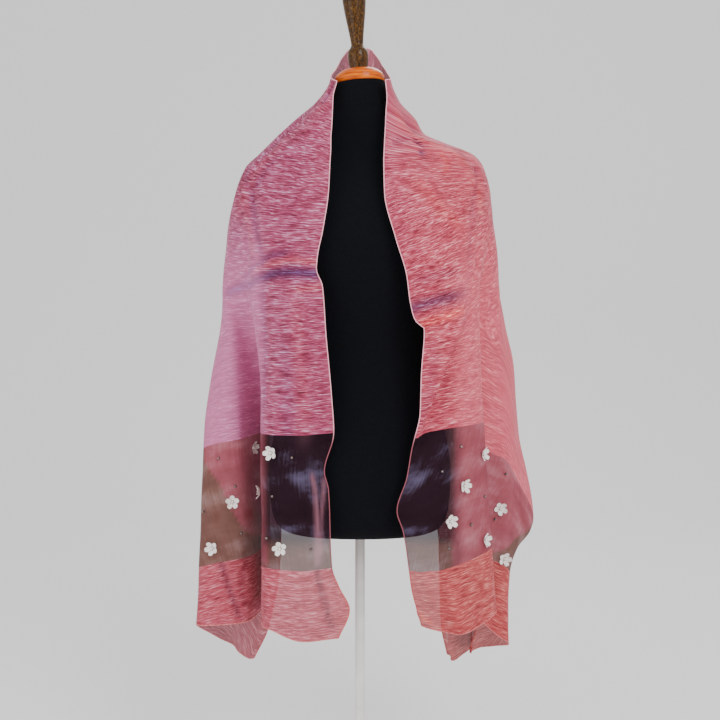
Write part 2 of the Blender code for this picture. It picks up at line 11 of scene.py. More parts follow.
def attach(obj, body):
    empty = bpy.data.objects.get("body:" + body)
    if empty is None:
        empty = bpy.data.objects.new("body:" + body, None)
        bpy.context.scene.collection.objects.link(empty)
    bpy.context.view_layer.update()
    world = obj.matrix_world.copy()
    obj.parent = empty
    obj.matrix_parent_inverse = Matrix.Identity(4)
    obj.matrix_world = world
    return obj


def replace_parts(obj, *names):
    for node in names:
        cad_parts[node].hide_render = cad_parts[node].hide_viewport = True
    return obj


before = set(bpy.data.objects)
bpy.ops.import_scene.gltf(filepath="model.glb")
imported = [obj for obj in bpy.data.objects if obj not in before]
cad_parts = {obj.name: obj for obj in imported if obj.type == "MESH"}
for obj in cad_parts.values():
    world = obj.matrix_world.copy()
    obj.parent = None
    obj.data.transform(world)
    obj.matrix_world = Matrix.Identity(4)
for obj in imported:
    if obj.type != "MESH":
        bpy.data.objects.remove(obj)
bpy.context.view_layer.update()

# Cloth
WALL = 0.0012  # thickness of the cloth
GAP = 0.0003  # clearance between pieces that touch

# Dress form and stand
FORM_BASE = 0.46  # height of the form's underside above the floor
NECK_TILT = math.radians(4.0)  # the neck's top, its cap and the finial lean to -X
CAP_HEIGHT = 0.023
BASE_RADIUS = 0.15
BASE_THICKNESS = 0.018
POLE_RADIUS = 0.008

# Flowers sewn on the organza
PETALS = 5
PETAL_REACH = 0.0110

# Level sections of the form: height above its underside, half width, half depth, shift to the front
FORM_SECTIONS = (
    (0.000, 0.122, 0.082, 0.000),
    (0.004, 0.130, 0.089, 0.000),
    (0.014, 0.139, 0.096, 0.000),
    (0.040, 0.146, 0.103, 0.000),
    (0.100, 0.149, 0.108, 0.000),
    (0.200, 0.132, 0.099, 0.001),
    (0.300, 0.116, 0.089, 0.002),
    (0.380, 0.126, 0.097, 0.006),
    (0.460, 0.146, 0.104, 0.008),
    (0.520, 0.170, 0.094, 0.004),
    (0.555, 0.183, 0.081, 0.000),
    (0.580, 0.1833, 0.070, -0.002),
    (0.598, 0.1757, 0.063, -0.003),
    (0.615, 0.1580, 0.058, -0.004),
    (0.630, 0.1325, 0.055, -0.004),
    (0.646, 0.0985, 0.052, -0.004),
    (0.665, 0.079, 0.049, -0.003),
    (0.685, 0.058, 0.046, -0.002),
    (0.705, 0.046, 0.043, 0.000),
    (0.731, 0.041, 0.041, 0.000),
)
FORM_SQUARENESS = 2.3  # exponent of the form's oval sections

# Turned profiles: radius, height above the piece's own foot
CAP_PROFILE = (
    (0.0405, 0.000),
    (0.0415, 0.004),
    (0.0405, 0.011),
    (0.0360, 0.017),
    (0.0290, 0.0215),
    (0.0220, CAP_HEIGHT),
)
FINIAL_PROFILE = (
    (0.0148, 0.000),
    (0.0152, 0.005),
    (0.0166, 0.013),
    (0.0173, 0.022),
    (0.0162, 0.030),
    (0.0120, 0.037),
    (0.0101, 0.042),
    (0.0108, 0.050),
    (0.0140, 0.073),
    (0.0176, 0.098),
    (0.0196, 0.120),
    (0.0196, 0.136),
    (0.0165, 0.149),
    (0.0095, 0.158),
)
STAND_PROFILE = (
    (BASE_RADIUS, 0.0),
    (BASE_RADIUS, 0.010),
    (BASE_RADIUS - 0.006, 0.015),
    (BASE_RADIUS - 0.030, BASE_THICKNESS),
)

# The upper sections, from the collar to the chest, are ovals: height, then for each side how far out
# and how far forward its inner edge is and how far out its side is, then how far back the middle is
YOKE_LEVELS = (
    # height, left edge out, forward, left side, right edge out, forward, right side, back
    (1.280, 0.024, 0.015, 0.034, 0.024, 0.015, 0.034, 0.074),
    (1.236, 0.036, 0.030, 0.043, 0.037, 0.030, 0.044, 0.073),
    (1.190, 0.037, 0.046, 0.052, 0.041, 0.046, 0.053, 0.073),
    (1.160, 0.043, 0.054, 0.073, 0.043, 0.054, 0.066, 0.075),
    (1.130, 0.044, 0.068, 0.106, 0.041, 0.066, 0.093, 0.079),
    (1.105, 0.045, 0.080, 0.133, 0.040, 0.077, 0.108, 0.084),
    (1.090, 0.046, 0.085, 0.148, 0.039, 0.084, 0.142, 0.087),
    (1.072, 0.046, 0.091, 0.166, 0.038, 0.090, 0.187, 0.091),
    (1.050, 0.047, 0.097, 0.189, 0.037, 0.097, 0.204, 0.096),
    (1.000, 0.049, 0.112, 0.206, 0.038, 0.111, 0.216, 0.103),
)
YOKE_SQUARENESS = 2.3

# Each line that the sections run through: its share of the way round a yoke oval, from the inner edge
# to the middle of the back, then its rows below the yoke: height, out from the axis, back from the axis
LEFT_LINES = {
    "inner_edge": (0.0, (
        (0.940, 0.057, -0.124), (0.906, 0.064, -0.128), (0.885, 0.066, -0.130), (0.856, 0.057, -0.131),
        (0.777, 0.051, -0.129), (0.684, 0.043, -0.124), (0.632, 0.040, -0.120), (0.572, 0.054, -0.120),
        (0.546, 0.048, -0.120), (0.427, 0.043, -0.121), (0.397, 0.032, -0.122), (0.363, 0.016, -0.123),
        (0.321, 0.033, -0.125),
    )),
    "front_middle": (0.10, (
        (0.885, 0.105, -0.135), (0.800, 0.098, -0.137), (0.685, 0.090, -0.131), (0.572, 0.092, -0.127),
        (0.320, 0.088, -0.134),
    )),
    "front_fold": (0.20, (
        (0.940, 0.152, -0.112), (0.885, 0.158, -0.116), (0.850, 0.160, -0.112), (0.753, 0.152, -0.114),
        (0.634, 0.147, -0.118), (0.538, 0.147, -0.120), (0.324, 0.141, -0.125),
    )),
    "valley": (0.31, (
        (0.940, 0.193, -0.078), (0.885, 0.196, -0.076), (0.850, 0.188, -0.062), (0.800, 0.172, -0.036),
        (0.750, 0.163, -0.012), (0.685, 0.157, 0.008), (0.572, 0.155, 0.026), (0.320, 0.155, 0.038),
    )),
    "ridge": (0.41, (
        (0.940, 0.215, -0.028), (0.850, 0.222, -0.034), (0.800, 0.214, -0.034), (0.685, 0.200, -0.034),
        (0.572, 0.194, -0.038), (0.320, 0.185, -0.051),
    )),
    "side": (0.50, (
        (0.940, 0.214, 0.022), (0.850, 0.222, 0.020), (0.750, 0.236, 0.000), (0.625, 0.254, -0.012),
        (0.572, 0.257, -0.020), (0.433, 0.253, -0.042), (0.320, 0.257, -0.062),
    )),
    "rear_turn": (0.65, (
        (0.940, 0.184, 0.068), (0.850, 0.196, 0.080), (0.625, 0.222, 0.096), (0.500, 0.232, 0.098),
        (0.433, 0.235, 0.084), (0.370, 0.236, 0.060), (0.240, 0.222, 0.020),
    )),
    "outer_edge": (0.82, (
        (0.940, 0.112, 0.100), (0.850, 0.118, 0.110), (0.685, 0.130, 0.122), (0.500, 0.139, 0.130),
        (0.360, 0.142, 0.126), (0.256, 0.162, 0.105), (0.215, 0.184, 0.080),
    )),
}
RIGHT_LINES = {
    "inner_edge": (0.0, (
        (0.927, 0.055, -0.126), (0.875, 0.070, -0.132), (0.824, 0.077, -0.136), (0.803, 0.084, -0.137),
        (0.792, 0.097, -0.137), (0.724, 0.093, -0.135), (0.661, 0.091, -0.130), (0.606, 0.079, -0.124),
        (0.563, 0.072, -0.122), (0.514, 0.057, -0.122), (0.484, 0.066, -0.120), (0.423, 0.076, -0.102),
        (0.383, 0.081, -0.086), (0.319, 0.098, -0.062),
    )),
    "strip_middle": (0.12, (
        (0.940, 0.105, -0.128), (0.843, 0.118, -0.141), (0.760, 0.118, -0.141), (0.660, 0.099, -0.134),
        (0.610, 0.086, -0.127), (0.514, 0.074, -0.126), (0.440, 0.090, -0.115), (0.320, 0.112, -0.076),
    )),
    "strip_fold": (0.27, (
        (0.940, 0.180, -0.098), (0.843, 0.171, -0.116), (0.800, 0.161, -0.125), (0.760, 0.139, -0.134),
        (0.710, 0.121, -0.135), (0.610, 0.091, -0.126), (0.514, 0.092, -0.127), (0.440, 0.107, -0.120),
        (0.320, 0.132, -0.092),
    )),
    "under_strip": (0.31, (
        (0.940, 0.182, -0.082), (0.843, 0.167, -0.098), (0.800, 0.156, -0.106), (0.760, 0.133, -0.116),
        (0.710, 0.116, -0.118), (0.658, 0.102, -0.116), (0.610, 0.101, -0.118), (0.514, 0.112, -0.122),
        (0.440, 0.128, -0.119), (0.320, 0.157, -0.106),
    )),
    "panel_middle": (0.34, (
        (0.940, 0.190, -0.072), (0.843, 0.178, -0.092), (0.760, 0.168, -0.104), (0.660, 0.156, -0.110),
        (0.560, 0.155, -0.106), (0.440, 0.170, -0.098), (0.320, 0.190, -0.076),
    )),
    "pleat_fold": (0.38, (
        (0.940, 0.199, -0.062), (0.885, 0.192, -0.074), (0.843, 0.188, -0.072), (0.760, 0.191, -0.066),
        (0.640, 0.198, -0.055), (0.500, 0.208, -0.046), (0.320, 0.221, -0.036),
    )),
    "pleat_back": (0.42, (
        (0.940, 0.207, -0.050), (0.885, 0.197, -0.050), (0.843, 0.185, -0.046), (0.760, 0.181, -0.038),
        (0.640, 0.182, -0.028), (0.500, 0.190, -0.020), (0.320, 0.199, -0.010),
    )),
    "outer_panel": (0.46, (
        (0.940, 0.216, -0.032), (0.885, 0.214, -0.036), (0.843, 0.208, -0.032), (0.760, 0.210, -0.024),
        (0.640, 0.213, -0.014), (0.500, 0.219, -0.010), (0.320, 0.225, -0.008),
    )),
    "side": (0.52, (
        (0.940, 0.222, 0.012), (0.885, 0.227, 0.014), (0.843, 0.232, 0.004), (0.720, 0.239, -0.002),
        (0.560, 0.244, -0.004), (0.268, 0.247, 0.000),
    )),
    "rear_turn": (0.66, (
        (0.940, 0.202, 0.070), (0.885, 0.214, 0.076), (0.800, 0.240, 0.079), (0.735, 0.258, 0.080),
        (0.610, 0.271, 0.080), (0.546, 0.283, 0.080), (0.460, 0.296, 0.080), (0.440, 0.290, 0.080),
        (0.415, 0.266, 0.080), (0.388, 0.252, 0.078), (0.300, 0.236, 0.076), (0.238, 0.215, 0.070),
    )),
    "outer_edge": (0.82, (
        (0.940, 0.116, 0.100), (0.850, 0.120, 0.110), (0.685, 0.130, 0.121), (0.500, 0.140, 0.129),
        (0.320, 0.142, 0.122), (0.260, 0.143, 0.110), (0.213, 0.151, 0.100),
    )),
}
BACK_MIDDLE = ((0.940, 0.0, 0.108), (0.850, 0.0, 0.114), (0.685, 0.0, 0.121), (0.500, 0.0, 0.125))

# Heights at which each line meets the cloth's own edges and seams:
# line, collar edge, end of the woven field, end of the organza, hem
LEFT_SEAMS = (
    ("inner_edge", 1.186, 0.632, 0.426, 0.321),
    ("front_middle", 1.191, 0.629, 0.424, 0.318),
    ("front_fold", 1.197, 0.630, 0.427, 0.334),
    ("valley", 1.205, 0.615, 0.4185, 0.3205),
    ("ridge", 1.214, 0.610, 0.420, 0.320),
    ("side", 1.226, 0.593, 0.408, 0.320),
    ("rear_turn", 1.250, 0.545, 0.360, 0.262),
    ("outer_edge", 1.266, 0.430, 0.300, 0.215),
)
RIGHT_SEAMS = (
    ("inner_edge", 1.188, 0.625, 0.417, 0.319),
    ("strip_middle", 1.192, 0.626, 0.417, 0.318),
    ("strip_fold", 1.198, 0.628, 0.418, 0.317),
    ("under_strip", 1.202, 0.632, 0.423, 0.3196),
    ("panel_middle", 1.206, 0.640, 0.432, 0.324),
    ("pleat_fold", 1.211, 0.642, 0.438, 0.335),
    ("pleat_back", 1.216, 0.605, 0.412, 0.312),
    ("outer_panel", 1.221, 0.584, 0.4065, 0.285),
    ("side", 1.229, 0.570, 0.390, 0.268),
    ("rear_turn", 1.250, 0.450, 0.338, 0.238),
    ("outer_edge", 1.266, 0.410, 0.305, 0.213),
)
COLLAR_TOP = 1.271
# The back's lower edge, from its left end to its right end: share of the way across, height
BACK_HEM = ((0.0, 0.430), (0.04, 0.505), (0.14, 0.570), (0.5, 0.622), (0.86, 0.568), (0.96, 0.500),
            (1.0, 0.410))

# Soft upright flutes on the back: where between the lines, half width there, depth (inward ones are
# negative), height where it starts and height where it is full
BACK_FLUTES = (
    (6.45, 0.22, 0.008, 0.98, 0.70),
    (7.12, 0.17, 0.007, 1.02, 0.72),
    (7.62, 0.15, 0.009, 1.06, 0.68),
    (8.30, 0.18, 0.008, 1.00, 0.66),
    (8.85, 0.14, 0.009, 1.04, 0.70),
    (9.24, 0.10, -0.028, 0.74, 0.52),
    (9.50, 0.10, 0.031, 0.86, 0.52),
    (9.77, 0.10, -0.026, 0.72, 0.52),
)

# Flowers: piece of cloth, where across, height, turn in degrees
FLOWERS = (
    ("organza_left", 3.55, 0.592, 10),
    ("organza_left", 1.74, 0.603, 40),
    ("organza_left", 2.35, 0.532, 5),
    ("organza_left", 4.22, 0.511, 20),
    ("organza_left", 4.68, 0.438, 50),
    ("organza_left", 1.53, 0.458, 30),
    ("organza_left", 5.58, 0.542, 15),
    ("organza_left", 5.84, 0.460, 35),
    ("organza_left", 6.47, 0.455, 60),
    ("organza_right", 14.30, 0.592, 25),
    ("organza_right", 14.90, 0.548, 0),
    ("organza_right", 11.56, 0.493, 45),
    ("organza_right", 14.45, 0.456, 15),
    ("organza_right", 11.40, 0.410, 70),
    ("organza_right", 15.47, 0.496, 30),
    ("organza_right", 9.45, 0.385, 55),
)


def oval(angle, half_width, half_depth, squareness):
    """A point of a squarish oval. Angle 0 is the front (-Y) and a quarter turn is the side (+X)."""
    power = 2.0 / squareness
    sine, cosine = math.sin(angle), math.cos(angle)
    return (
        half_width * math.copysign(abs(sine) ** power, sine),
        -half_depth * math.copysign(abs(cosine) ** power, cosine),
    )


def cubic_weights(share):
    """The weights of a cubic curve between two rows: the start, its slope, the end and its slope."""
    square, cube = share**2, share**3
    return 2 * cube - 3 * square + 1, cube - 2 * square + share, 3 * square - 2 * cube, cube - square


def ease(knots, values, at):
    """Smooth values between knots, without overshoot. Knots rise; values have a row for each knot."""
    step = np.diff(knots)[:, None]
    rise = np.diff(values, axis=0) / step
    slopes = np.zeros_like(values)
    slopes[0], slopes[-1] = rise[0], rise[-1]
    before, after = rise[:-1], rise[1:]
    same_way = before * after > 0
    safe_before = np.where(same_way, before, 1.0)
    safe_after = np.where(same_way, after, 1.0)
    first, second = 2 * step[1:] + step[:-1], step[1:] + 2 * step[:-1]
    mean = (first + second) / (first / safe_before + second / safe_after)
    slopes[1:-1] = np.where(same_way, mean, 0.0)
    at = np.asarray(at, dtype=float)
    row = np.clip(np.searchsorted(knots, at, side="right") - 1, 0, len(knots) - 2)
    width = (knots[row + 1] - knots[row])[..., None]
    share = np.clip((at - knots[row])[..., None] / width, 0.0, 1.0)
    start, leaving, end, arriving = cubic_weights(share)
    return (
        start * values[row]
        + leaving * width * slopes[row]
        + end * values[row + 1]
        + arriving * width * slopes[row + 1]
    )


def ease_rows(rows, at):
    """Smooth values between the rows of a table, at places counted in rows."""
    table = np.array(rows)
    return ease(np.arange(len(table), dtype=float), table, at)


def smoothstep(value, start, end):
    """A soft step from 0 at the start to 1 at the end."""
    share = np.clip((value - start) / (end - start), 0.0, 1.0)
    return share * share * (3 - 2 * share)


def yoke_rows(share, side):
    """One line's rows on the yoke's ovals. Side is -1 on the left and 1 on the right."""
    rows = []
    for height, *left, back in YOKE_LEVELS:
        edge_out, edge_forward, side_out = left[:3] if side < 0 else left[3:]
        start = math.asin((edge_out / side_out) ** (YOKE_SQUARENESS / 2))
        front = edge_forward / math.cos(start) ** (2 / YOKE_SQUARENESS)
        angle = start + (math.pi - start) * share
        x, y = oval(angle, side_out, front if angle < math.pi / 2 else back, YOKE_SQUARENESS)
        rows.append((height, side * x, y))
    return rows


def cloth_lines():
    """Every line in order, from the left inner edge round the back to the right inner edge, as its
    heights, rising, and its (x, y) at each."""
    rows = []
    for share, below in LEFT_LINES.values():
        rows.append(yoke_rows(share, -1) + [(height, -out, back) for height, out, back in below])
    rows.append(yoke_rows(1.0, -1) + list(BACK_MIDDLE))
    for share, below in reversed(RIGHT_LINES.values()):
        rows.append(yoke_rows(share, 1) + list(below))
    lines = []
    for line in rows:
        table = np.array(sorted(line))
        lines.append((table[:, 0], table[:, 1:]))
    return lines


CLOTH_LINES = cloth_lines()
LEFT_OUTER = len(LEFT_LINES) - 1  # number of the left outer edge's line
RIGHT_OUTER = LEFT_OUTER + 2
LAST_LINE = len(CLOTH_LINES) - 1
LEFT_SIDE = list(LEFT_LINES).index("side")


def section_point(across, height):
    """The plan position of the section at this height, by centripetal spline through the lines."""
    spots = np.stack([ease(knots, table, height) for knots, table in CLOTH_LINES])
    first, last = 2 * spots[:1] - spots[1:2], 2 * spots[-1:] - spots[-2:-1]
    spots = np.concatenate([first, spots, last])
    segment = np.clip(np.floor(across).astype(int), 0, LAST_LINE - 1)
    share = (across - segment)[..., None]
    corner = [np.take_along_axis(spots, (segment + k)[None, ..., None], axis=0)[0] for k in range(4)]
    span = [
        np.maximum(np.linalg.norm(corner[k + 1] - corner[k], axis=-1, keepdims=True), 1e-5) ** 0.5
        for k in range(3)
    ]
    slopes = []
    for k in (0, 1):
        slopes.append(span[1] * (
            (corner[k + 1] - corner[k]) / span[k]
            - (corner[k + 2] - corner[k]) / (span[k] + span[k + 1])
            + (corner[k + 2] - corner[k + 1]) / span[k + 1]
        ))
    start, leaving, end, arriving = cubic_weights(share)
    return start * corner[1] + leaving * slopes[0] + end * corner[2] + arriving * slopes[1]


def flute_depth(across, height):
    """How far the back's flutes move the cloth outwards."""
    depth = np.zeros_like(across)
    for centre, half_width, most, start, full in BACK_FLUTES:
        grown = np.clip((start - height) / (start - full), 0.0, 1.0)
        depth += most * grown**2 * (3 - 2 * grown) * np.exp(-(((across - centre) / half_width) ** 2))
    return depth


def point_on_cloth(across, height):
    """The outer face of the cloth."""
    across, height = np.broadcast_arrays(np.asarray(across, float), np.asarray(height, float))
    reach = 1e-3
    plan = section_point(across, height)
    along = section_point(across + reach, height) - section_point(across - reach, height)
    along /= np.linalg.norm(along, axis=-1, keepdims=True)
    outward = np.stack([-along[..., 1], along[..., 0]], axis=-1)
    plan = plan + outward * flute_depth(across, height)[..., None]
    return np.concatenate([plan, height[..., None]], axis=-1)


def cloth_normal(across, height):
    """The outward unit normal of the cloth."""
    step_across, step_up = 0.02, 0.004
    low, high = np.maximum(across - step_across, 0.0), np.minimum(across + step_across, LAST_LINE)
    along = point_on_cloth(high, height) - point_on_cloth(low, height)
    up = point_on_cloth(across, height + step_up) - point_on_cloth(across, height - step_up)
    normal = np.cross(up, along)
    return normal / np.linalg.norm(normal, axis=-1, keepdims=True)


def seam_heights(column, across):
    """The height of one of the cloth's edges or seams: 1 collar, 2 field end, 3 organza end, 4 hem."""
    rows = [row[column] for row in LEFT_SEAMS]
    rows.append(COLLAR_TOP if column == 1 else rows[-1])
    rows += [row[column] for row in reversed(RIGHT_SEAMS)]
    return ease_rows([[height] for height in rows], across)[..., 0]


def back_hem(across):
    """The height of the back's lower edge."""
    table = np.array(BACK_HEM)
    return ease(table[:, 0], table[:, 1:], (across - LEFT_OUTER) / 2)[..., 0]


# Looks
CELL = 0.0042  # spacing of the cloth's grid
PLACES_EACH = 200  # places between each line and the next at which lengths along the cloth are measured
FORM_CLEARANCE = 0.0016
FORM_SEARCH = 0.02  # how near the form must be for the cloth to be kept clear of it
HEM_RADIUS = 0.0008
SHARP_ROUND = math.radians(50)  # edges steeper than this are sharp on the form, cap and finial
SHARP_STAND = math.radians(30)
NECK_BEND = 0.705  # height above the form's underside at which the neck starts to tilt
NECK_BEND_HEIGHT = 0.026

# Creases
FULL_TONE_DEPTH = 0.0050  # a crease this deep takes its full painted shade or painted highlight
CREASE_STEPS = 12  # places along each stretch of a crease
CREASE_TAPER = 0.45  # stretches over which its ends fade
CREASE_REACH = 1.2  # a crease touches no further than this many lines to each side

# The ripples fade towards the collar, and about the pleats on the right
RIPPLE_TOP = 1.20
RIPPLE_FADE = 0.12
RIPPLE_LEAST = 0.15
PLEATS_MIDDLE = 14.5  # in lines
PLEATS_SPREAD = 1.7
PLEATS_CALM = 0.75

# Where the streaks turn upright: lines inside which they start to, how many lines it takes, and heights
TURN_LINES = (4.0, 12.0)
TURN_SPAN = 3.0
TURN_HEIGHTS = (0.50, 0.66)
# The streaks follow the slant of the seam below the first height, and not above the second
FOLLOW_HEIGHTS = (0.66, 0.92)
SEAM_LEVEL = 0.63
SLANT_REACH = 0.3  # the slants end this far in from each inner edge

# Where painted backlight lightens the cloth, standing in for light that comes through from behind: out from
# the axis, and the heights between which it fades in
BACKLIGHT_OUT = (0.135, 0.165)
BACKLIGHT_HEIGHTS = (1.00, 0.84)
BACKLIGHT_BELOW_HEIGHTS = (0.475, 0.455)
PAINTED_LIGHT_BELOW = 0.60  # share of the painted backlight beside the form that is also painted on the cloth below it
WARMTH_SPAN = (-0.12, 0.16)  # the tint warms from the left to the right between these; on the field the cool left is partly painted shade
REAR_SOFTNESS = 0.003  # half width of the soft edge of the painted pink backlight where the rear layer lies behind the organza
REAR_PLACES = 60

# Trimmings
PETAL_START = 0.12  # share of its reach at which a petal starts
PETAL_HALF_WIDTH = 0.31  # share of its reach
PETAL_WIDEST = 0.63  # share of its reach at which it is widest
PETAL_ROUNDNESS = 0.385
PETAL_ROOT = 0.0006  # height and least half width of a petal at its root
PETAL_RISE = 0.0034
PETAL_CUP = 0.0016
PETAL_WAVE = 0.0008
PETAL_TILT = 0.0012
PETAL_OVERLAP = 0.0002
FLOWER_LIFT = 0.0006
FLOWER_SEAT = 0.8  # share of the petals' reach over which a flower rests on the cloth
CENTRE_RADIUS = 0.0021
CENTRE_LIFT = 0.0026
PEARL_RADIUS = 0.0023
PEARL_LIFT = 0.0003

# Slow ripples of the cloth: waves per metre along the section and upwards, phase, depth
RIPPLES = (
    (5.3, 0.7, 0.10, 0.0016),
    (8.9, -1.3, 0.45, 0.0012),
    (14.2, 2.1, 0.80, 0.0007),
    (3.1, 4.2, 0.30, 0.0010),
    (21.0, -3.7, 0.62, 0.0004),
    (6.4, 9.5, 0.15, 0.0004),
)

# Creases: half width, depth (troughs are negative), then across and height along it
CREASES = (
    # left front, at the elbow
    (0.0085, -0.0055, ((-0.60, 0.874), (0.00, 0.875), (0.73, 0.877), (1.36, 0.876), (1.80, 0.869),
                       (2.30, 0.860), (3.26, 0.851), (4.10, 0.842))),
    (0.0060, 0.0034, ((-0.20, 0.893), (0.50, 0.893), (1.00, 0.896), (1.54, 0.888), (2.30, 0.874))),
    (0.0055, -0.0036, ((1.00, 0.908), (1.54, 0.904), (2.16, 0.882), (2.90, 0.864))),
    (0.0060, 0.0030, ((-0.10, 0.858), (0.50, 0.852), (1.00, 0.850))),
    # left front, the fold from the shoulder's tip down to the elbow
    (0.0060, -0.0026, ((3.60, 1.060), (3.10, 1.030), (2.48, 0.992), (2.14, 0.935), (1.83, 0.893),
                       (1.80, 0.870))),
    (0.0050, -0.0024, ((1.80, 0.880), (1.78, 0.850), (1.80, 0.789), (1.95, 0.713), (2.00, 0.660))),
    (0.0060, 0.0022, ((3.30, 1.050), (2.80, 0.990), (2.42, 0.935), (2.10, 0.890))),
    # left shoulder
    (0.0100, 0.0022, ((0.60, 1.165), (1.40, 1.110), (2.60, 1.030), (3.20, 0.960))),
    (0.0090, -0.0022, ((0.90, 1.150), (1.80, 1.080), (2.70, 0.985))),
    (0.0090, -0.0020, ((1.80, 1.175), (2.80, 1.110), (3.60, 1.030))),
    # left front, hanging
    (0.0120, 0.0020, ((0.90, 0.860), (0.95, 0.740), (0.85, 0.600))),
    (0.0100, -0.0018, ((1.35, 0.800), (1.30, 0.680), (1.40, 0.560))),
    (0.0034, 0.0034, ((0.52, 0.575), (0.47, 0.545), (0.44, 0.499), (0.47, 0.450), (0.47, 0.425))),
    (0.0034, 0.0030, ((0.05, 0.570), (0.22, 0.530), (0.32, 0.480), (0.34, 0.425))),
    (0.0060, -0.0022, ((3.75, 0.424), (3.95, 0.395), (4.02, 0.360), (3.30, 0.323))),
    (0.0090, 0.0016, ((2.80, 0.600), (2.75, 0.520), (2.90, 0.440))),
    # right front, at the elbow
    (0.0100, -0.0048, ((19.40, 0.818), (18.98, 0.823), (18.30, 0.831), (17.75, 0.838), (17.15, 0.848))),
    (0.0075, 0.0042, ((19.30, 0.793), (18.77, 0.799), (18.02, 0.806), (17.61, 0.813), (17.20, 0.821))),
    (0.0100, -0.0022, ((18.80, 0.862), (18.00, 0.872), (17.40, 0.880))),
    # right shoulder
    (0.0080, -0.0025, ((18.86, 1.078), (18.40, 1.088), (18.14, 1.090))),
    (0.0026, -0.0060, ((17.95, 1.092), (18.00, 1.078), (18.12, 1.065), (18.17, 1.050), (18.22, 1.036))),
    (0.0050, 0.0030, ((17.70, 1.074), (17.60, 1.050), (17.75, 1.030))),
    (0.0100, 0.0024, ((18.40, 1.150), (17.60, 1.090), (16.60, 1.020), (15.90, 0.960))),
    (0.0090, -0.0024, ((18.10, 1.150), (17.20, 1.080), (16.20, 1.010))),
    (0.0110, 0.0022, ((18.50, 1.030), (17.90, 0.980), (17.20, 0.930))),
    # right front, hanging
    (0.0110, -0.0018, ((18.30, 0.790), (18.25, 0.700), (18.40, 0.640))),
    (0.0050, -0.0028, ((15.20, 1.058), (16.40, 1.025), (17.03, 0.992), (17.21, 0.928), (17.26, 0.865),
                       (17.16, 0.819), (17.10, 0.790))),
    # end bands
    (0.0050, -0.0046, ((4.55, 0.426), (4.48, 0.414), (4.34, 0.381), (4.20, 0.352), (4.06, 0.321))),
    (0.0044, -0.0044, ((0.46, 0.428), (0.47, 0.420), (0.48, 0.390), (0.44, 0.358), (0.14, 0.327))),
    (0.0060, 0.0040, ((18.90, 0.345), (18.46, 0.334), (17.90, 0.330))),
    # collar
    (0.0040, -0.0036, ((0.78, 1.190), (0.80, 1.171), (0.88, 1.158), (0.95, 1.145))),
    # left side and rear
    (0.0120, -0.0026, ((4.60, 0.985), (5.10, 0.900), (5.30, 0.780))),
    (0.0120, 0.0022, ((5.60, 0.960), (5.80, 0.840), (5.75, 0.700))),
    (0.0110, -0.0024, ((6.10, 1.080), (6.30, 0.980), (6.25, 0.860))),
    # right side and rear
    (0.0120, -0.0026, ((11.40, 0.985), (10.90, 0.890), (10.75, 0.760))),
    (0.0120, 0.0022, ((10.30, 0.960), (10.15, 0.830), (10.20, 0.690))),
    (0.0110, -0.0024, ((9.80, 1.080), (9.65, 0.970), (9.75, 0.850))),
    # back
    (0.0130, -0.0028, ((7.20, 1.180), (7.60, 1.060), (8.20, 1.010), (8.70, 1.040))),
    (0.0120, 0.0024, ((7.30, 1.140), (7.90, 1.030), (8.60, 0.985))),
    (0.0110, -0.0022, ((8.90, 1.130), (8.60, 1.050), (8.10, 0.960))),
)

# Studio lights: name, place, size, power
LIGHTS = (
    ("key_light", (1.3, -2.2, 2.5), 1.3, 46.0),
    ("fill_light", (-1.8, -1.6, 1.2), 1.6, 17.0),
    ("rim_light", (0.6, 1.6, 2.6), 1.2, 18.0),
)
LIGHT_TARGET = Vector((0, 0, 0.85))
SKY_STRENGTH = 0.95
PAPER_GREY = (0.93, 0.93, 0.93, 1.0)
FLOOR_FRONT = -5.0
BEND_START = 2.0  # the floor starts to curve up this far behind the stand
BEND_RADIUS = 1.6
PAPER_TOP = 7.0
PAPER_HALF_WIDTH = 7.0
FLOOR_DROP = 0.0005  # the floor lies this far under the stand
CAMERA_PLACE = (0.0, -1.6, 0.835)
LENS = 48.485
SENSOR_WIDTH = 36.0
FRAME_SHIFT = -60 / 720

# How the streaks on each front slant: height, rise for each metre outwards on the left, on the right
SLANTS = (
    (0.660, 0.00, 0.02),
    (0.760, 0.00, 0.14),
    (0.850, 0.02, 0.30),
    (0.950, 0.06, 0.40),
    (1.020, 0.15, 0.20),
    (1.090, 0.28, -0.35),
    (1.200, 0.50, -0.80),
)

# Pearls sewn on the organza: side, across, height
PEARLS = (
    ("left", 4.48, 0.580), ("left", 1.21, 0.596), ("left", 4.14, 0.536), ("left", 1.70, 0.537),
    ("left", 4.90, 0.494), ("left", 4.03, 0.461), ("left", 1.89, 0.473), ("left", 0.66, 0.457),
    ("right", 15.01, 0.610), ("right", 15.54, 0.573), ("right", 11.15, 0.549),
    ("right", 14.35, 0.525), ("right", 11.98, 0.476), ("right", 14.84, 0.487),
    ("right", 15.71, 0.455),
)


def new_item(name, data):
    """An object with this data, in the scene."""
    item = bpy.data.objects.new(name, data)
    bpy.context.collection.objects.link(item)
    return item


def add_mesh(name, points, faces, finish, cad_slot):
    """A visible piece of the part, on the only body there is."""
    mesh = bpy.data.meshes.new(name)
    mesh.from_pydata(np.asarray(points).tolist(), [], [tuple(int(i) for i in face) for face in faces])
    mesh.materials.append(finish)
    mesh.shade_smooth()
    made = new_item(name, mesh)
    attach(made, "root")
    return made


# Materials
def linear(red, green, blue):
    """A colour given in screen levels, as the shader's linear values."""
    levels = np.array((red, green, blue)) / 255.0
    values = np.where(levels <= 0.04045, levels / 12.92, ((levels + 0.055) / 1.055) ** 2.4)
    return (*values.tolist(), 1.0)


def new_material(name, roughness, **constants):
    """A material, its nodes and its shader, with constants on the shader's own sockets."""
    made = bpy.data.materials.new(name)
    made.use_nodes = True
    shader = made.node_tree.nodes["Principled BSDF"]
    shader.inputs["Roughness"].default_value = roughness
    for socket, value in constants.items():
        shader.inputs[socket.replace("_", " ")].default_value = value
    return made, made.node_tree, shader


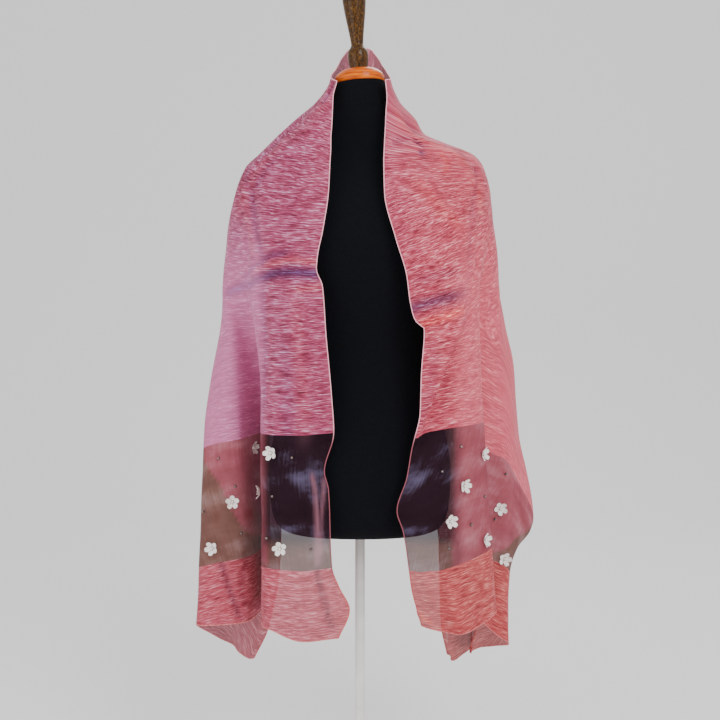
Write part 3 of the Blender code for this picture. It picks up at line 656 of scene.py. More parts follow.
def noise(tree, vector, stretch, detail=2.0, roughness=0.5):
    """Noise on a vector that is stretched by three numbers, as a value from about 0.25 to 0.75."""
    scaled = tree.nodes.new("ShaderNodeVectorMath")
    scaled.operation = "MULTIPLY"
    scaled.inputs[1].default_value = stretch
    tree.links.new(vector, scaled.inputs[0])
    made = tree.nodes.new("ShaderNodeTexNoise")
    made.inputs["Scale"].default_value = 1.0
    made.inputs["Detail"].default_value = detail
    made.inputs["Roughness"].default_value = roughness
    tree.links.new(scaled.outputs[0], made.inputs["Vector"])
    return made.outputs["Fac"]


def arithmetic(tree, operation, first, second):
    """A sum, product or difference of two values, each a number or a socket."""
    made = tree.nodes.new("ShaderNodeMath")
    made.operation = operation
    for socket, value in zip(made.inputs, (first, second)):
        if isinstance(value, (int, float)):
            socket.default_value = value
        else:
            tree.links.new(value, socket)
    return made.outputs[0]


def ramp(tree, value, *stops):
    """Colours at places from 0 to 1: each stop is a place and a colour in screen levels."""
    made = tree.nodes.new("ShaderNodeValToRGB")
    elements = made.color_ramp.elements
    while len(elements) < len(stops):
        elements.new(0.5)
    for element, (place, colour) in zip(elements, stops):
        element.position = place
        element.color = linear(*colour)
    tree.links.new(value, made.inputs["Fac"])
    return made.outputs["Color"]


def mixed(tree, share, first, second, way="MIX"):
    """A mix of two colours, each four numbers or a socket."""
    made = tree.nodes.new("ShaderNodeMix")
    made.data_type = "RGBA"
    made.blend_type = way
    sockets = [made.inputs[0], made.inputs[6], made.inputs[7]]
    for socket, value in zip(sockets, (share, first, second)):
        if isinstance(value, (int, float, tuple)):
            socket.default_value = value
        else:
            tree.links.new(value, socket)
    return made.outputs[2]


def attribute(tree, name, output="Fac"):
    made = tree.nodes.new("ShaderNodeAttribute")
    made.attribute_name = name
    return made.outputs[output]


def weighted(tree, first, second, share):
    """Two values added, the first with this share and the second with the rest."""
    return arithmetic(tree, "ADD", arithmetic(tree, "MULTIPLY", first, share),
                      arithmetic(tree, "MULTIPLY", second, round(1.0 - share, 6)))


def bump(tree, shader, height, strength, distance):
    made = tree.nodes.new("ShaderNodeBump")
    made.inputs["Strength"].default_value = strength
    made.inputs["Distance"].default_value = distance
    tree.links.new(height, made.inputs["Height"])
    tree.links.new(made.outputs[0], shader.inputs["Normal"])


def streaks(tree, fine, broad):
    """Wavy streaks along the weft: level on the fronts, falling to the rear over the shoulders, and
    upright behind."""
    weave = attribute(tree, "weave", "Vector")
    wobble = tree.nodes.new("ShaderNodeVectorMath")
    wobble.operation = "ADD"
    shift = tree.nodes.new("ShaderNodeCombineXYZ")
    wave = arithmetic(tree, "SUBTRACT", noise(tree, weave, (38, 36, 0)), 0.5)
    wave = arithmetic(tree, "MULTIPLY", wave, 0.005)
    tree.links.new(wave, shift.inputs[0])
    tree.links.new(wave, shift.inputs[1])
    tree.links.new(weave, wobble.inputs[0])
    tree.links.new(shift.outputs[0], wobble.inputs[1])
    ways = []
    for quarter in (0.0, 0.5, 1.0):
        turned = tree.nodes.new("ShaderNodeVectorRotate")
        turned.rotation_type = "Z_AXIS"
        turned.inputs["Angle"].default_value = -quarter * math.pi / 2
        tree.links.new(wobble.outputs[0], turned.inputs["Vector"])
        slim = noise(tree, turned.outputs[0], (52, fine, 0), 2.0, 0.65)
        wide = noise(tree, turned.outputs[0], (14, broad, 0), 2.0, 0.5)
        ways.append(weighted(tree, slim, wide, 0.74))
    turn = attribute(tree, "turn")
    pattern = ways[0]
    for bound, way in (("From Max", ways[1]), ("From Min", ways[2])):
        share = tree.nodes.new("ShaderNodeMapRange")
        share.inputs[bound].default_value = 0.5
        tree.links.new(turn, share.inputs["Value"])
        blend = tree.nodes.new("ShaderNodeMix")
        tree.links.new(share.outputs[0], blend.inputs[0])
        tree.links.new(pattern, blend.inputs[2])
        tree.links.new(way, blend.inputs[3])
        pattern = blend.outputs[0]
    return pattern


def woven(name, stops, alpha, fine, broad, warm, cool, trough_shade_tint, backlight_share):
    """A slub weave: streaks, a slow change of tint that on the field is also painted shade to the left,
    painted mauve shade in the creases' troughs, painted highlight on their ridges, and painted backlight
    where light would come through it.
    """
    made, tree, shader = new_material(name, 0.65, Alpha=alpha, Sheen_Weight=0.12, Sheen_Roughness=0.4,
                                      Specular_IOR_Level=0.25)
    shader.inputs["Sheen Tint"].default_value = linear(255, 200, 210)
    pattern = streaks(tree, fine, broad)
    colour = ramp(tree, pattern, *stops)
    # The cool and warm tints: the cloth's own colour change from left to right, and on the field also
    # painted shade that darkens the left
    colour = mixed(tree, attribute(tree, "warmth"), mixed(tree, 1.0, colour, cool, "MULTIPLY"),
                   mixed(tree, 1.0, colour, warm, "MULTIPLY"))
    # Painted shade in the creases' troughs and painted highlight on their ridges, as multiplied tints
    for place, tint in (("trough_shade", trough_shade_tint), ("ridge", RIDGE_HIGHLIGHT)):
        tinted = mixed(tree, 1.0, colour, tint, "MULTIPLY")
        colour = mixed(tree, attribute(tree, place), colour, tinted)
    # Painted backlight: the weave is mixed towards a pale pink glow where light would come through it from
    # behind
    light = mixed(tree, attribute(tree, "warmth"), LEFT_PAINTED_GLOW, RIGHT_PAINTED_GLOW)
    painted_glow = arithmetic(tree, "MULTIPLY", attribute(tree, "painted_backlight"), backlight_share)
    tree.links.new(mixed(tree, painted_glow, colour, light), shader.inputs["Base Color"])
    bump(tree, shader, pattern, 0.3, 0.0008)
    return made


def organza_material():
    """See-through cloth with painted light: painted dark shade before the black form, painted backlight
    where light would come from behind it, and a painted pink backlight where the field's rear layer lies
    behind it.
    """
    made, tree, shader = new_material("organza", 0.7, Alpha=0.86, Sheen_Weight=0.04, Sheen_Roughness=0.3,
                                      Specular_IOR_Level=0.05)
    shader.inputs["Sheen Tint"].default_value = linear(200, 200, 235)
    weave = attribute(tree, "weave", "Vector")
    cloudy = noise(tree, weave, (10, 17, 0), 4.0, 0.55)
    threads = noise(tree, weave, (320, 14, 0), 1.0)
    tone = weighted(tree, cloudy, threads, 0.86)
    # Painted shaded and painted lit copies of the organza's colour, and a pink painted backlight where the
    # rear layer lies behind
    painted_shaded = ramp(tree, tone, (0.36, (32, 15, 23)), (0.54, (42, 24, 34)), (0.70, (92, 82, 108)))
    painted_lit = ramp(tree, tone, (0.32, (98, 60, 50)), (0.50, (118, 78, 70)), (0.70, (160, 124, 122)))
    painted_rear_backlight = ramp(tree, tone, (0.32, (138, 62, 72)), (0.50, (160, 80, 92)), (0.70, (194, 128, 140)))
    painted_lit = mixed(tree, attribute(tree, "painted_rear_backlight"), painted_lit, painted_rear_backlight)
    colour = mixed(tree, attribute(tree, "painted_backlight"), painted_shaded, painted_lit)
    # Painted highlight: the organza turns paler on its ridges
    colour = mixed(tree, attribute(tree, "ridge"), colour, ORGANZA_RIDGE_HIGHLIGHT)
    tree.links.new(colour, shader.inputs["Base Color"])
    bump(tree, shader, threads, 0.06, 0.0002)
    return made


def plain_material(name, roughness, stops, stretch, depth=0.0, **constants):
    """A finish with a little noise in it, on the object's own coordinates."""
    made, tree, shader = new_material(name, roughness, **constants)
    place = tree.nodes.new("ShaderNodeTexCoord").outputs["Object"]
    value = noise(tree, place, stretch, 3.0)
    tree.links.new(ramp(tree, value, *stops), shader.inputs["Base Color"])
    if depth:
        bump(tree, shader, value, 0.4, depth)
    return made


def hem_material():
    """The rolled hem is pale pink on the woven field, dull on the organza and coral on the end bands."""
    made, tree, shader = new_material("long_hem", 0.55, Specular_IOR_Level=0.3)
    place = tree.nodes.new("ShaderNodeSeparateXYZ")
    tree.links.new(tree.nodes.new("ShaderNodeTexCoord").outputs["Object"], place.inputs[0])
    colour = ramp(tree, place.outputs["Z"], (0.405, (214, 84, 84)), (0.425, (150, 78, 88)),
                  (0.615, (158, 84, 96)), (0.64, (255, 182, 196)))
    tree.links.new(colour, shader.inputs["Base Color"])
    return made


# Tints of the weave: painted shade in the troughs, painted highlight on ridges, and painted backlight where
# light would come through it on each side
FIELD_TROUGH_SHADE = (0.36, 0.50, 0.80, 1.0)
BAND_TROUGH_SHADE = (0.40, 0.34, 0.46, 1.0)
RIDGE_HIGHLIGHT = (1.50, 1.20, 0.80, 1.0)
ORGANZA_RIDGE_HIGHLIGHT = linear(176, 116, 132)
LEFT_PAINTED_GLOW = linear(255, 158, 214)
RIGHT_PAINTED_GLOW = linear(244, 116, 132)
# Tints towards the right and the left side: the cloth's own change of colour, and in the field's cool tint
# also painted shade that darkens the left, away from the key light
FIELD_WARM = (1.10, 1.00, 0.88, 1.0)
FIELD_COOL = (0.75, 0.87, 1.12, 1.0)
BAND_WARM = (0.94, 0.92, 0.74, 1.0)
BAND_COOL = (0.88, 0.96, 1.10, 1.0)
# Colours of the weave from its darkest streaks to its palest
FIELD_STOPS = ((0.34, (110, 26, 44)), (0.46, (168, 56, 80)), (0.55, (206, 92, 116)), (0.68, (255, 182, 198)))
BAND_STOPS = ((0.32, (128, 32, 44)), (0.46, (178, 62, 74)), (0.54, (202, 88, 98)), (0.70, (244, 160, 164)))
VARNISH_STOPS = ((0.3, (150, 56, 2)), (0.5, (198, 86, 4)), (0.7, (236, 122, 14)))
WOOD_STOPS = ((0.34, (34, 18, 3)), (0.5, (66, 39, 5)), (0.66, (104, 66, 14)))
MATERIALS = {
    "field": woven("woven_field", FIELD_STOPS, 0.92, 560, 120, FIELD_WARM, FIELD_COOL, FIELD_TROUGH_SHADE, 0.36),
    "organza": organza_material(),
    "end_band": woven("end_band", BAND_STOPS, 0.93, 520, 110, BAND_WARM, BAND_COOL, BAND_TROUGH_SHADE, 0.0),
    "long_hem": hem_material(),
    "end_hem": plain_material("end_hem", 0.55, ((0.4, (196, 86, 92)), (0.6, (232, 128, 128))), (300,) * 3),
    "petals": plain_material("petal_fabric", 0.6, ((0.35, (228, 218, 214)), (0.6, (252, 247, 242))),
                             (400,) * 3, 0.0004, Sheen_Weight=0.3),
    "pearls": plain_material("pearl", 0.16, ((0.4, (84, 72, 70)), (0.6, (132, 114, 108))), (200,) * 3,
                             Coat_Weight=0.8, Coat_Roughness=0.08, Metallic=0.8),
    "cover": plain_material("black_knit", 0.95, ((0.35, (5, 6, 9)), (0.65, (14, 15, 21))), (900, 900, 700),
                            0.0004, Sheen_Weight=0.02, Sheen_Roughness=0.6, Specular_IOR_Level=0.08),
    "varnish": plain_material("varnished_wood", 0.22, VARNISH_STOPS, (30, 30, 260), Coat_Weight=0.14,
                              Coat_Roughness=0.06, Specular_IOR_Level=0.08),
    "dark_wood": plain_material("dark_wood", 0.35, WOOD_STOPS, (560, 560, 240), Coat_Weight=0.15,
                                Coat_Roughness=0.2, Specular_IOR_Level=0.15),
    "stand": plain_material("stand_paint", 0.4, ((0.4, (226, 225, 222)), (0.6, (234, 233, 230))), (40,) * 3),
}


# Dress form and stand
def turned_points(profile, rings, segments):
    """Points of a smooth turned profile, ring by ring, then the middles of its two ends."""
    smooth = ease_rows(profile, np.linspace(0, len(profile) - 1, rings))
    angles = np.linspace(0, math.tau, segments, endpoint=False)
    radius, height = smooth[:, :1], smooth[:, 1:]
    points = np.stack(np.broadcast_arrays(radius * np.cos(angles), radius * np.sin(angles), height), -1)
    return np.concatenate([points.reshape(-1, 3), [[0, 0, profile[0][1]], [0, 0, profile[-1][1]]]])


def ring_faces(rings, segments):
    """The side faces of a tube whose points go round ring by ring."""
    faces = []
    for ring in range(rings - 1):
        low, high = ring * segments, (ring + 1) * segments
        for step in range(segments):
            after = (step + 1) % segments
            faces.append((low + step, low + after, high + after, high + step))
    return faces


def closed_loft(rings, segments):
    """The side faces, and fans to the middles of both ends."""
    faces = ring_faces(rings, segments)
    for step in range(segments):
        after = (step + 1) % segments
        faces.append((rings * segments, after, step))
        faces.append((rings * segments + 1, (rings - 1) * segments + step, (rings - 1) * segments + after))
    return faces


def make_form(segments=96, rings=120):
    """The limbless dress form, with its neck's top tilted."""
    points = []
    for section in ease_rows(FORM_SECTIONS, np.linspace(0, len(FORM_SECTIONS) - 1, rings)):
        height, half_width, half_depth, forward = section
        tilt = math.tan(NECK_TILT) * min(1.0, max(0.0, (height - NECK_BEND) / NECK_BEND_HEIGHT))
        for step in range(segments):
            x, y = oval(math.tau * step / segments, half_width, half_depth, FORM_SQUARENESS)
            points.append((x, y - forward, FORM_BASE + height + x * tilt))
    points += [(0, 0, FORM_BASE), (0, 0, FORM_BASE + FORM_SECTIONS[-1][0])]
    form = add_mesh("dress_form", points, closed_loft(rings, segments), MATERIALS["cover"], "black_cover")
    form.data.set_sharp_from_angle(angle=SHARP_ROUND)
    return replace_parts(form, "form_torso")


def turned_piece(name, profile, rings, segments, finish, cad_slot, sharp):
    """A piece turned about its own upright axis."""
    points = turned_points(profile, rings, segments)
    made = add_mesh(name, points, closed_loft(rings, segments), MATERIALS[finish], cad_slot)
    made.data.set_sharp_from_angle(angle=sharp)
    return made


def make_fittings():
    """The cap, the finial, the base and the pole."""
    lean = Matrix.Rotation(-NECK_TILT, 4, "Y")
    neck_top = Vector((0.0, 0.0, FORM_BASE + FORM_SECTIONS[-1][0]))
    for name, node, profile, finish, cad_slot, seat in (
        ("cap", "neck_cap", CAP_PROFILE, "varnish", "varnished_wood", GAP),
        ("finial_knob", "finial", FINIAL_PROFILE, "dark_wood", "dark_wood", CAP_HEIGHT + 2 * GAP),
    ):
        made = turned_piece(name, profile, 70, 64, finish, cad_slot, SHARP_ROUND)
        made.matrix_world = Matrix.Translation(neck_top + lean @ Vector((0, 0, seat))) @ lean
        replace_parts(made, node)
    base = turned_piece("base", STAND_PROFILE, 24, 96, "stand", "stand_metal", SHARP_STAND)
    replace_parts(base, "stand_base")
    shaft = ((POLE_RADIUS, BASE_THICKNESS + GAP), (POLE_RADIUS, FORM_BASE - GAP))
    pole = turned_piece("pole", shaft, 12, 40, "stand", "stand_metal", SHARP_STAND)
    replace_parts(pole, "stand_pole")


# Cloth
RUN_PLACES = np.linspace(0.0, LAST_LINE, LAST_LINE * PLACES_EACH + 1)


def run_table():
    """Length along the cloth from the left inner edge, averaged over several levels."""
    total = np.zeros(len(RUN_PLACES))
    levels = (0.50, 0.65, 0.80, 0.95)
    for level in levels:
        points = point_on_cloth(RUN_PLACES, level)
        total[1:] += np.cumsum(np.linalg.norm(np.diff(points, axis=0), axis=1)) / len(levels)
    return total


RUN = run_table()


def even_columns(first, last):
    """Places across the cloth that lie about one cell apart."""
    start, end = np.interp((first, last), RUN_PLACES, RUN)
    count = int(math.ceil((end - start) / CELL))
    columns = np.interp(np.linspace(start, end, count + 1), RUN, RUN_PLACES)
    columns[0], columns[-1] = first, last
    return columns


def crease_shares(points, across, half_width, spots):
    """How much of a crease each point takes, from 0 to 1."""
    stretches = len(spots) - 1
    at = np.linspace(0.0, float(stretches), CREASE_STEPS * stretches + 1)
    line = ease_rows(spots, at)
    anchors = point_on_cloth(line[:, 0].clip(0, LAST_LINE), line[:, 1])
    taper = smoothstep(np.minimum(at, at[-1] - at), 0.0, CREASE_TAPER)
    share = np.zeros(len(points))
    for anchor, place, fade in zip(anchors, line[:, 0], taper):
        near = np.sum((points - anchor) ** 2, axis=1)
        value = fade * np.exp(-near / half_width**2)
        share = np.maximum(share, np.where(np.abs(across - place) < CREASE_REACH, value, 0.0))
    return share


def relief(across, height):
    """The cloth's offset from its smooth form, and how much painted shade each point takes in a trough and
    painted highlight on a ridge.
    """
    across, height = np.broadcast_arrays(np.asarray(across, float), np.asarray(height, float))
    flat_across, flat_height = across.ravel(), height.ravel()
    run = np.interp(flat_across, RUN_PLACES, RUN)
    offset = np.zeros(len(run))
    for along, up, phase, depth in RIPPLES:
        offset += depth * np.sin(math.tau * (along * run + up * flat_height + phase))
    collar = np.clip((RIPPLE_TOP - flat_height) / RIPPLE_FADE, RIPPLE_LEAST, 1.0)
    pleats = 1.0 - PLEATS_CALM * np.exp(-(((flat_across - PLEATS_MIDDLE) / PLEATS_SPREAD) ** 2))
    offset *= collar * pleats
    points = point_on_cloth(flat_across, flat_height)
    trough_shade, ridge = np.zeros(len(run)), np.zeros(len(run))
    for half_width, depth, spots in CREASES:
        share = crease_shares(points, flat_across, half_width, spots)
        offset += depth * share
        # Painted shade in troughs and painted highlight on ridges, stronger for deeper creases
        tone = share * min(1.0, abs(depth) / FULL_TONE_DEPTH) ** 1.5
        if depth < 0:
            trough_shade = np.maximum(trough_shade, tone)
        else:
            ridge = np.maximum(ridge, tone)
    return tuple(value.reshape(across.shape) for value in (offset, trough_shade, ridge))


def cloth_face(across, height):
    """The visible face of the cloth, with its relief."""
    offset, trough_shade, ridge = relief(across, height)
    shift = offset - WALL / 2
    return point_on_cloth(across, height) + shift[..., None] * cloth_normal(across, height), trough_shade, ridge


def make_cloth(name, first, last, high, low, finish, cad_slot, form_tree):
    """One sheet of cloth as a fine grid, with what its finish needs at each point."""
    columns = even_columns(first, last)
    top, bottom = high(columns), low(columns)
    rows = int(math.ceil((top - bottom).max() / CELL)) + 1
    heights = top + (bottom - top) * np.linspace(0.0, 1.0, rows)[:, None]
    across = np.broadcast_to(columns, heights.shape)
    points, trough_shade, ridge = cloth_face(across, heights)
    normals = cloth_normal(across, heights)
    points = clear_of(form_tree, points.reshape(-1, 3), normals.reshape(-1, 3))
    count = len(columns)
    corners = [row * count + column for row in range(rows - 1) for column in range(count - 1)]
    faces = [(corner, corner + 1, corner + count + 1, corner + count) for corner in corners]
    made = add_mesh(name, points, faces, MATERIALS[finish], cad_slot)
    flat_across, flat_height = across.ravel(), heights.ravel()
    put_attribute(made, "weave", weave_places(columns, across, heights))
    inside = np.minimum(flat_across - TURN_LINES[0], TURN_LINES[1] - flat_across)
    behind = smoothstep(inside, 0.0, TURN_SPAN)
    above = smoothstep(flat_height, *TURN_HEIGHTS)
    put_attribute(made, "turn", behind * above)
    # Painted backlight mask: full beside the form and weaker below it, where light would come through from
    # behind
    beside = smoothstep(np.abs(points[:, 0]), *BACKLIGHT_OUT) * smoothstep(points[:, 2], *BACKLIGHT_HEIGHTS)
    below = smoothstep(points[:, 2], *BACKLIGHT_BELOW_HEIGHTS)
    put_attribute(made, "painted_backlight", np.maximum(beside, PAINTED_LIGHT_BELOW * below))
    if name.startswith("organza"):
        # Painted pink backlight on the organza where the woven field's rear layer lies behind it
        put_attribute(made, "painted_rear_backlight", field_behind(columns[0] < LEFT_OUTER, flat_across, points))
    # Mask for the warm and cool tints, which on the field also carry painted shade on the left
    put_attribute(made, "warmth", smoothstep(points[:, 0], *WARMTH_SPAN))
    # Painted crease shade in the troughs and painted highlight on the ridges
    put_attribute(made, "trough_shade", trough_shade.ravel())
    put_attribute(made, "ridge", ridge.ravel())
    return made


def field_behind(on_left, across, points):
    """How far the woven field's rear layer lies behind each point of the organza's front, from 0 to 1."""
    right_turn = RIGHT_OUTER + 1  # the tail reaches furthest out at this line
    start, end = (LEFT_SIDE, LEFT_OUTER) if on_left else (RIGHT_OUTER, right_turn)
    rear = np.linspace(start, end, REAR_PLACES)
    hem = seam_heights(2, rear)
    hem_out = np.abs(point_on_cloth(rear, hem)[:, 0])
    order = np.argsort(hem_out)
    out = np.abs(points[:, 0])
    above = points[:, 2] - np.interp(out, hem_out[order], hem[order])
    soft, nearest = REAR_SOFTNESS, hem_out.min()
    share = smoothstep(above, -soft, soft) * smoothstep(out, nearest - soft, nearest + soft)
    in_front = across < LEFT_SIDE if on_left else across > right_turn
    return np.where(in_front, share, 0.0)


def weave_places(columns, across, heights):
    """Where each point lies along the streaks and across them. The streaks run level on the fronts,
    but for the slants, and follow the seam on the tails."""
    smooth = point_on_cloth(across, heights)
    run = np.zeros(heights.shape)
    run[:, 1:] = np.cumsum(np.linalg.norm(np.diff(smooth, axis=1), axis=-1), axis=1)
    back_middle = (LEFT_OUTER + RIGHT_OUTER) / 2
    if columns[0] < back_middle < columns[-1]:
        middle = run[:, np.argmin(np.abs(columns - back_middle))][:, None]
    else:
        middle = run[:, -1:] if columns[-1] < back_middle else run[:, :1]
    from_middle = np.abs(run - middle)
    side = np.sign(across - back_middle)
    table = np.array(SLANTS)
    rise = ease(table[:, 0], table[:, 1:], heights)
    left = across < back_middle
    outwards = np.where(left, run, run[:, -1:] - run).clip(0.0, SLANT_REACH)
    seam = seam_heights(2, columns)[None, :]
    low = 1.0 - smoothstep(heights, *FOLLOW_HEIGHTS)
    level = heights - np.where(left, rise[..., 0], rise[..., 1]) * outwards - low * (seam - SEAM_LEVEL)
    return np.stack([from_middle, level, side], axis=-1).reshape(-1, 3)


def put_attribute(item, name, values):
    """Keeps a number or a vector at each point of the mesh, for its material."""
    kind = "FLOAT_VECTOR" if values.ndim == 2 else "FLOAT"
    made = item.data.attributes.new(name, kind, "POINT")
    made.data.foreach_set("vector" if values.ndim == 2 else "value", values.astype(np.float32).ravel())


def clear_of(tree, points, normals):
    """Moves points out along their normals where they come too close to the form."""
    moved = points.copy()
    for index, point in enumerate(points):
        spot, normal, _, _ = tree.find_nearest(Vector(point), FORM_SEARCH)
        if spot is None:
            continue
        gap = (Vector(point) - spot).dot(normal)
        if gap < FORM_CLEARANCE:
            moved[index] = point + normals[index] * (FORM_CLEARANCE - gap)
    return moved


def tube(path, radius, sides=8):
    """Points and faces of a thin round tube along a path."""
    path = np.asarray(path)
    forward = np.gradient(path, axis=0)
    forward /= np.linalg.norm(forward, axis=1, keepdims=True)
    up = np.cross(forward[0], (0.3, 0.5, 0.8))
    points = []
    for spot, way in zip(path, forward):
        up = up - way * np.dot(up, way)
        up /= np.linalg.norm(up)
        side = np.cross(way, up)
        for step in range(sides):
            angle = math.tau * step / sides
            points.append(spot + radius * (math.cos(angle) * up + math.sin(angle) * side))
    faces = ring_faces(len(path), sides)
    faces.append(tuple(range(sides - 1, -1, -1)))
    faces.append(tuple(range((len(path) - 1) * sides, len(path) * sides)))
    return points, faces


def edge_path(stretches, form_tree):
    """The cloth's face along stretches of edge: each is from across, to across and a height function or
    the two heights between which it climbs."""
    paths = []
    for start, end, heights in stretches:
        if callable(heights):
            columns = even_columns(min(start, end), max(start, end))
            columns = columns if start < end else columns[::-1]
            levels = heights(columns)
        else:
            count = int(abs(heights[1] - heights[0]) / CELL) + 2
            levels = np.linspace(*heights, count)
            columns = np.full(count, float(start))
        paths.append(clear_of(form_tree, cloth_face(columns, levels)[0], cloth_normal(columns, levels)))
    return np.concatenate([paths[0]] + [path[1:] for path in paths[1:]])


def make_hem(name, stretches, finish, cad_slot, form_tree):
    """A rolled hem along stretches of the cloth's edge."""
    points, faces = tube(edge_path(stretches, form_tree), HEM_RADIUS)
    return add_mesh(name, points, faces, MATERIALS[finish], cad_slot)


def petal_patch(turn, tilt, cells=8):
    """One cupped, rounded petal as a grid of (out, across, lift) from the flower's middle."""
    points = []
    for row in range(cells + 1):
        reach = PETAL_START + (1.0 - PETAL_START) * row / cells
        fullness = max(0.0, 1.0 - ((reach - PETAL_WIDEST) / PETAL_ROUNDNESS) ** 2) ** 0.5
        width = PETAL_HALF_WIDTH * PETAL_REACH * fullness + PETAL_ROOT
        wave = PETAL_WAVE * math.sin(5 * reach)
        for column in range(cells + 1):
            side = 2.0 * column / cells - 1.0
            lift = PETAL_ROOT + PETAL_RISE * reach * reach + PETAL_CUP * side * side * reach - wave
            points.append((PETAL_REACH * reach, width * side, lift + tilt * reach))
    cosine, sine = math.cos(turn), math.sin(turn)
    rotated = [(x * cosine - y * sine, x * sine + y * cosine, z) for x, y, z in points]
    size = cells + 1
    faces = []
    for row in range(cells):
        for column in range(cells):
            a = row * size + column
            faces.append((a, a + size, a + size + 1, a + 1))
    return rotated, faces


def ball(centre, radius, around=14, rings=10):
    """Points and faces of a small ball."""
    points = [centre + Vector((0, 0, radius))]
    for ring in range(1, rings):
        down = math.pi * ring / rings
        for step in range(around):
            turn = math.tau * step / around
            out, upwards = math.sin(down), math.cos(down)
            points.append(centre + radius * Vector((out * math.cos(turn), out * math.sin(turn), upwards)))
    points.append(centre - Vector((0, 0, radius)))
    last = len(points) - 1
    faces = []
    for step in range(around):
        after = (step + 1) % around
        faces.append((0, 1 + step, 1 + after))
        faces.append((last, last - around + after, last - around + step))
        for ring in range(rings - 2):
            a, b = 1 + ring * around, 1 + (ring + 1) * around
            faces.append((a + step, b + step, b + after, a + after))
    return points, faces


def local_frame(across, height):
    """A place on the cloth's face, and the ways out, sideways and upwards from it."""
    origin = Vector(cloth_face(np.array([across]), np.array([height]))[0][0].tolist())
    out = Vector(cloth_normal(np.array([across]), np.array([height]))[0].tolist())
    sideways = Vector((0, 0, 1)).cross(out).normalized()
    return origin, out, sideways, out.cross(sideways)


def seat_of(across, height, reach):
    """How far out the cloth comes under a trimming, from its middle."""
    origin, out, _, _ = local_frame(across, height)
    step, least_span = 0.02, 0.004
    stride = point_on_cloth(across + step, height) - point_on_cloth(across - step, height)
    span = max(np.linalg.norm(stride) / (2 * step), least_span)
    seat = 0.0
    angles = np.linspace(0, math.tau, 12, endpoint=False)
    for share in (0.5, 1.0):
        beside = across + share * reach * np.cos(angles) / span
        above = height + share * reach * np.sin(angles)
        for point in cloth_face(beside, above)[0]:
            seat = max(seat, (Vector(point.tolist()) - origin).dot(out))
    return seat


def gather(parts):
    """The points and faces of several parts as one mesh's."""
    points, faces = [], []
    for some_points, some_faces in parts:
        start = len(points)
        points += [tuple(point) for point in some_points]
        faces += [tuple(start + index for index in face) for face in some_faces]
    return points, faces


def make_trimmings():
    """The flowers and the pearls of each side."""
    for side in ("left", "right"):
        petals, pearls, nodes = [], [], []
        for panel, across, height, turn in FLOWERS:
            if panel != f"organza_{side}":
                continue
            origin, out, sideways, upwards = local_frame(across, height)
            seat = seat_of(across, height, FLOWER_SEAT * PETAL_REACH) + FLOWER_LIFT
            for petal in range(PETALS):
                patch, faces = petal_patch(math.radians(turn) + math.tau * petal / PETALS,
                                           PETAL_TILT * math.sin(1.9 * petal + turn))
                over = PETAL_OVERLAP * (petal % 2)
                petals.append(([origin + x * sideways + y * upwards + (z + seat + over) * out
                                for x, y, z in patch], faces))
            petals.append(ball(origin + (seat + CENTRE_LIFT) * out, CENTRE_RADIUS))
            nodes.append(f"flower_{side}_{len(nodes) + 1}")
        for pearl_side, across, height in PEARLS:
            if pearl_side == side:
                origin, out, _, _ = local_frame(across, height)
                lift = seat_of(across, height, PEARL_RADIUS) + PEARL_RADIUS + PEARL_LIFT
                pearls.append(ball(origin + lift * out, PEARL_RADIUS))
        made = add_mesh(f"flowers_{side}", *gather(petals), MATERIALS["petals"], "flower_fabric")
        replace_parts(made, *nodes)
        add_mesh(f"pearls_{side}", *gather(pearls), MATERIALS["pearls"], "flower_fabric")


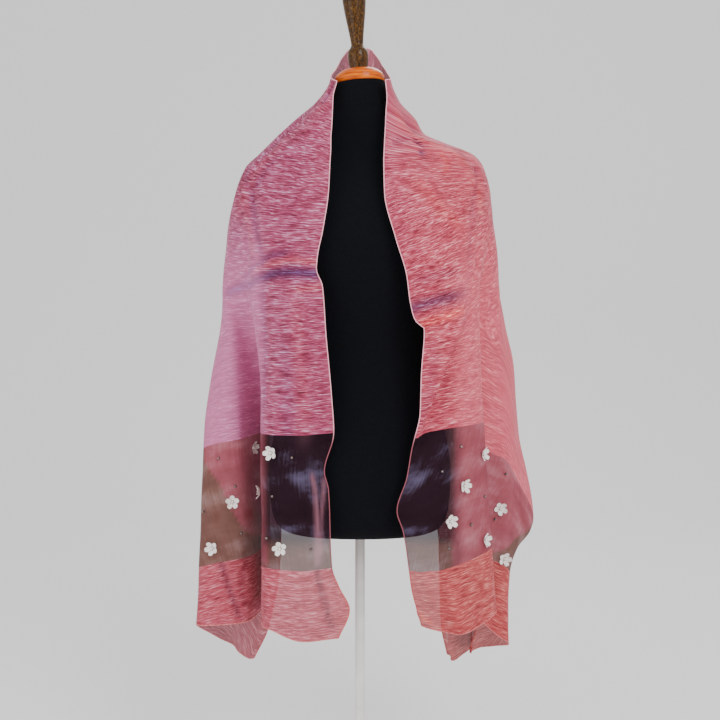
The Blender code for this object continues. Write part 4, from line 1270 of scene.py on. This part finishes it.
def make_scarf(form):
    """The field, the organza, the end bands and their hems."""
    tree = BVHTree.FromObject(form, bpy.context.evaluated_depsgraph_get())
    last = LAST_LINE

    def field_low(columns):
        ends = seam_heights(2, columns)
        behind = (columns > LEFT_OUTER) & (columns < RIGHT_OUTER)
        return np.where(behind, back_hem(np.clip(columns, LEFT_OUTER, RIGHT_OUTER)), ends)

    def seam(column):
        return lambda columns: seam_heights(column, columns)

    def seam_at(column, line):
        return seam_heights(column, np.array([float(line)]))[0]

    field = make_cloth("field", 0, last, seam(1), field_low, "field", "woven_field", tree)
    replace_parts(field, *[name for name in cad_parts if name.startswith("field_")])
    inner_hem = make_hem("inner_edge_hem", (
        (0, 0, (seam_at(4, 0), seam_at(1, 0))),
        (0, last, seam(1)),
        (last, last, (seam_at(1, last), seam_at(4, last))),
    ), "long_hem", "woven_field", tree)
    outer_hem = make_hem("outer_edge_hem", (
        (LEFT_OUTER, LEFT_OUTER, (seam_at(4, LEFT_OUTER), BACK_HEM[0][1])),
        (LEFT_OUTER, RIGHT_OUTER, back_hem),
        (RIGHT_OUTER, RIGHT_OUTER, (BACK_HEM[-1][1], seam_at(4, RIGHT_OUTER))),
    ), "long_hem", "woven_field", tree)
    for side, first, end in (("left", 0, LEFT_OUTER), ("right", RIGHT_OUTER, last)):
        name = f"organza_panel_{side}"
        organza = make_cloth(name, first, end, seam(2), seam(3), "organza", "organza", tree)
        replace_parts(organza, f"organza_{side}")
        band = make_cloth(f"band_{side}", first, end, seam(3), seam(4), "end_band", "end_band", tree)
        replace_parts(band, f"end_band_{side}")
        hem = make_hem(f"end_hem_{side}", ((first, end, seam(4)),), "end_hem", "end_band", tree)


# Setting
def make_setting():
    """A pale floor that curves up into a backdrop, soft lights and the camera."""
    profile = [(FLOOR_FRONT, 0.0), (BEND_START, 0.0)]
    for turn in np.linspace(0.1, math.pi / 2, 14):
        back = BEND_START + BEND_RADIUS * math.sin(turn)
        profile.append((back, BEND_RADIUS - BEND_RADIUS * math.cos(turn)))
    profile.append((BEND_START + BEND_RADIUS, PAPER_TOP))
    points = [(x, y, z - FLOOR_DROP) for y, z in profile for x in (-PAPER_HALF_WIDTH, PAPER_HALF_WIDTH)]
    faces = [(2 * i, 2 * i + 1, 2 * i + 3, 2 * i + 2) for i in range(len(profile) - 1)]
    mesh = bpy.data.meshes.new("backdrop")
    mesh.from_pydata(points, [], faces)
    made, _, _ = new_material("backdrop_paper", 0.9, Base_Color=PAPER_GREY)
    mesh.materials.append(made)
    mesh.shade_smooth()
    backdrop = new_item("backdrop", mesh)

    world = bpy.data.worlds.new("studio")
    world.use_nodes = True
    sky = world.node_tree.nodes["Background"]
    sky.inputs["Color"].default_value = (1.0, 1.0, 1.0, 1.0)
    sky.inputs["Strength"].default_value = SKY_STRENGTH
    bpy.context.scene.world = world
    for name, place, size, power in LIGHTS:
        lamp = bpy.data.lights.new(name, "AREA")
        lamp.energy, lamp.size = power, size
        item = new_item(name, lamp)
        item.location = place
        item.rotation_euler = (LIGHT_TARGET - Vector(place)).to_track_quat("-Z", "Y").to_euler()
    camera = bpy.data.cameras.new("camera")
    camera.lens, camera.sensor_width, camera.shift_y = LENS, SENSOR_WIDTH, FRAME_SHIFT
    item = new_item("camera", camera)
    item.location = CAMERA_PLACE
    item.rotation_euler = (math.radians(90), 0.0, 0.0)
    bpy.context.scene.camera = item


form = make_form()
make_fittings()
make_scarf(form)
make_trimmings()
make_setting()
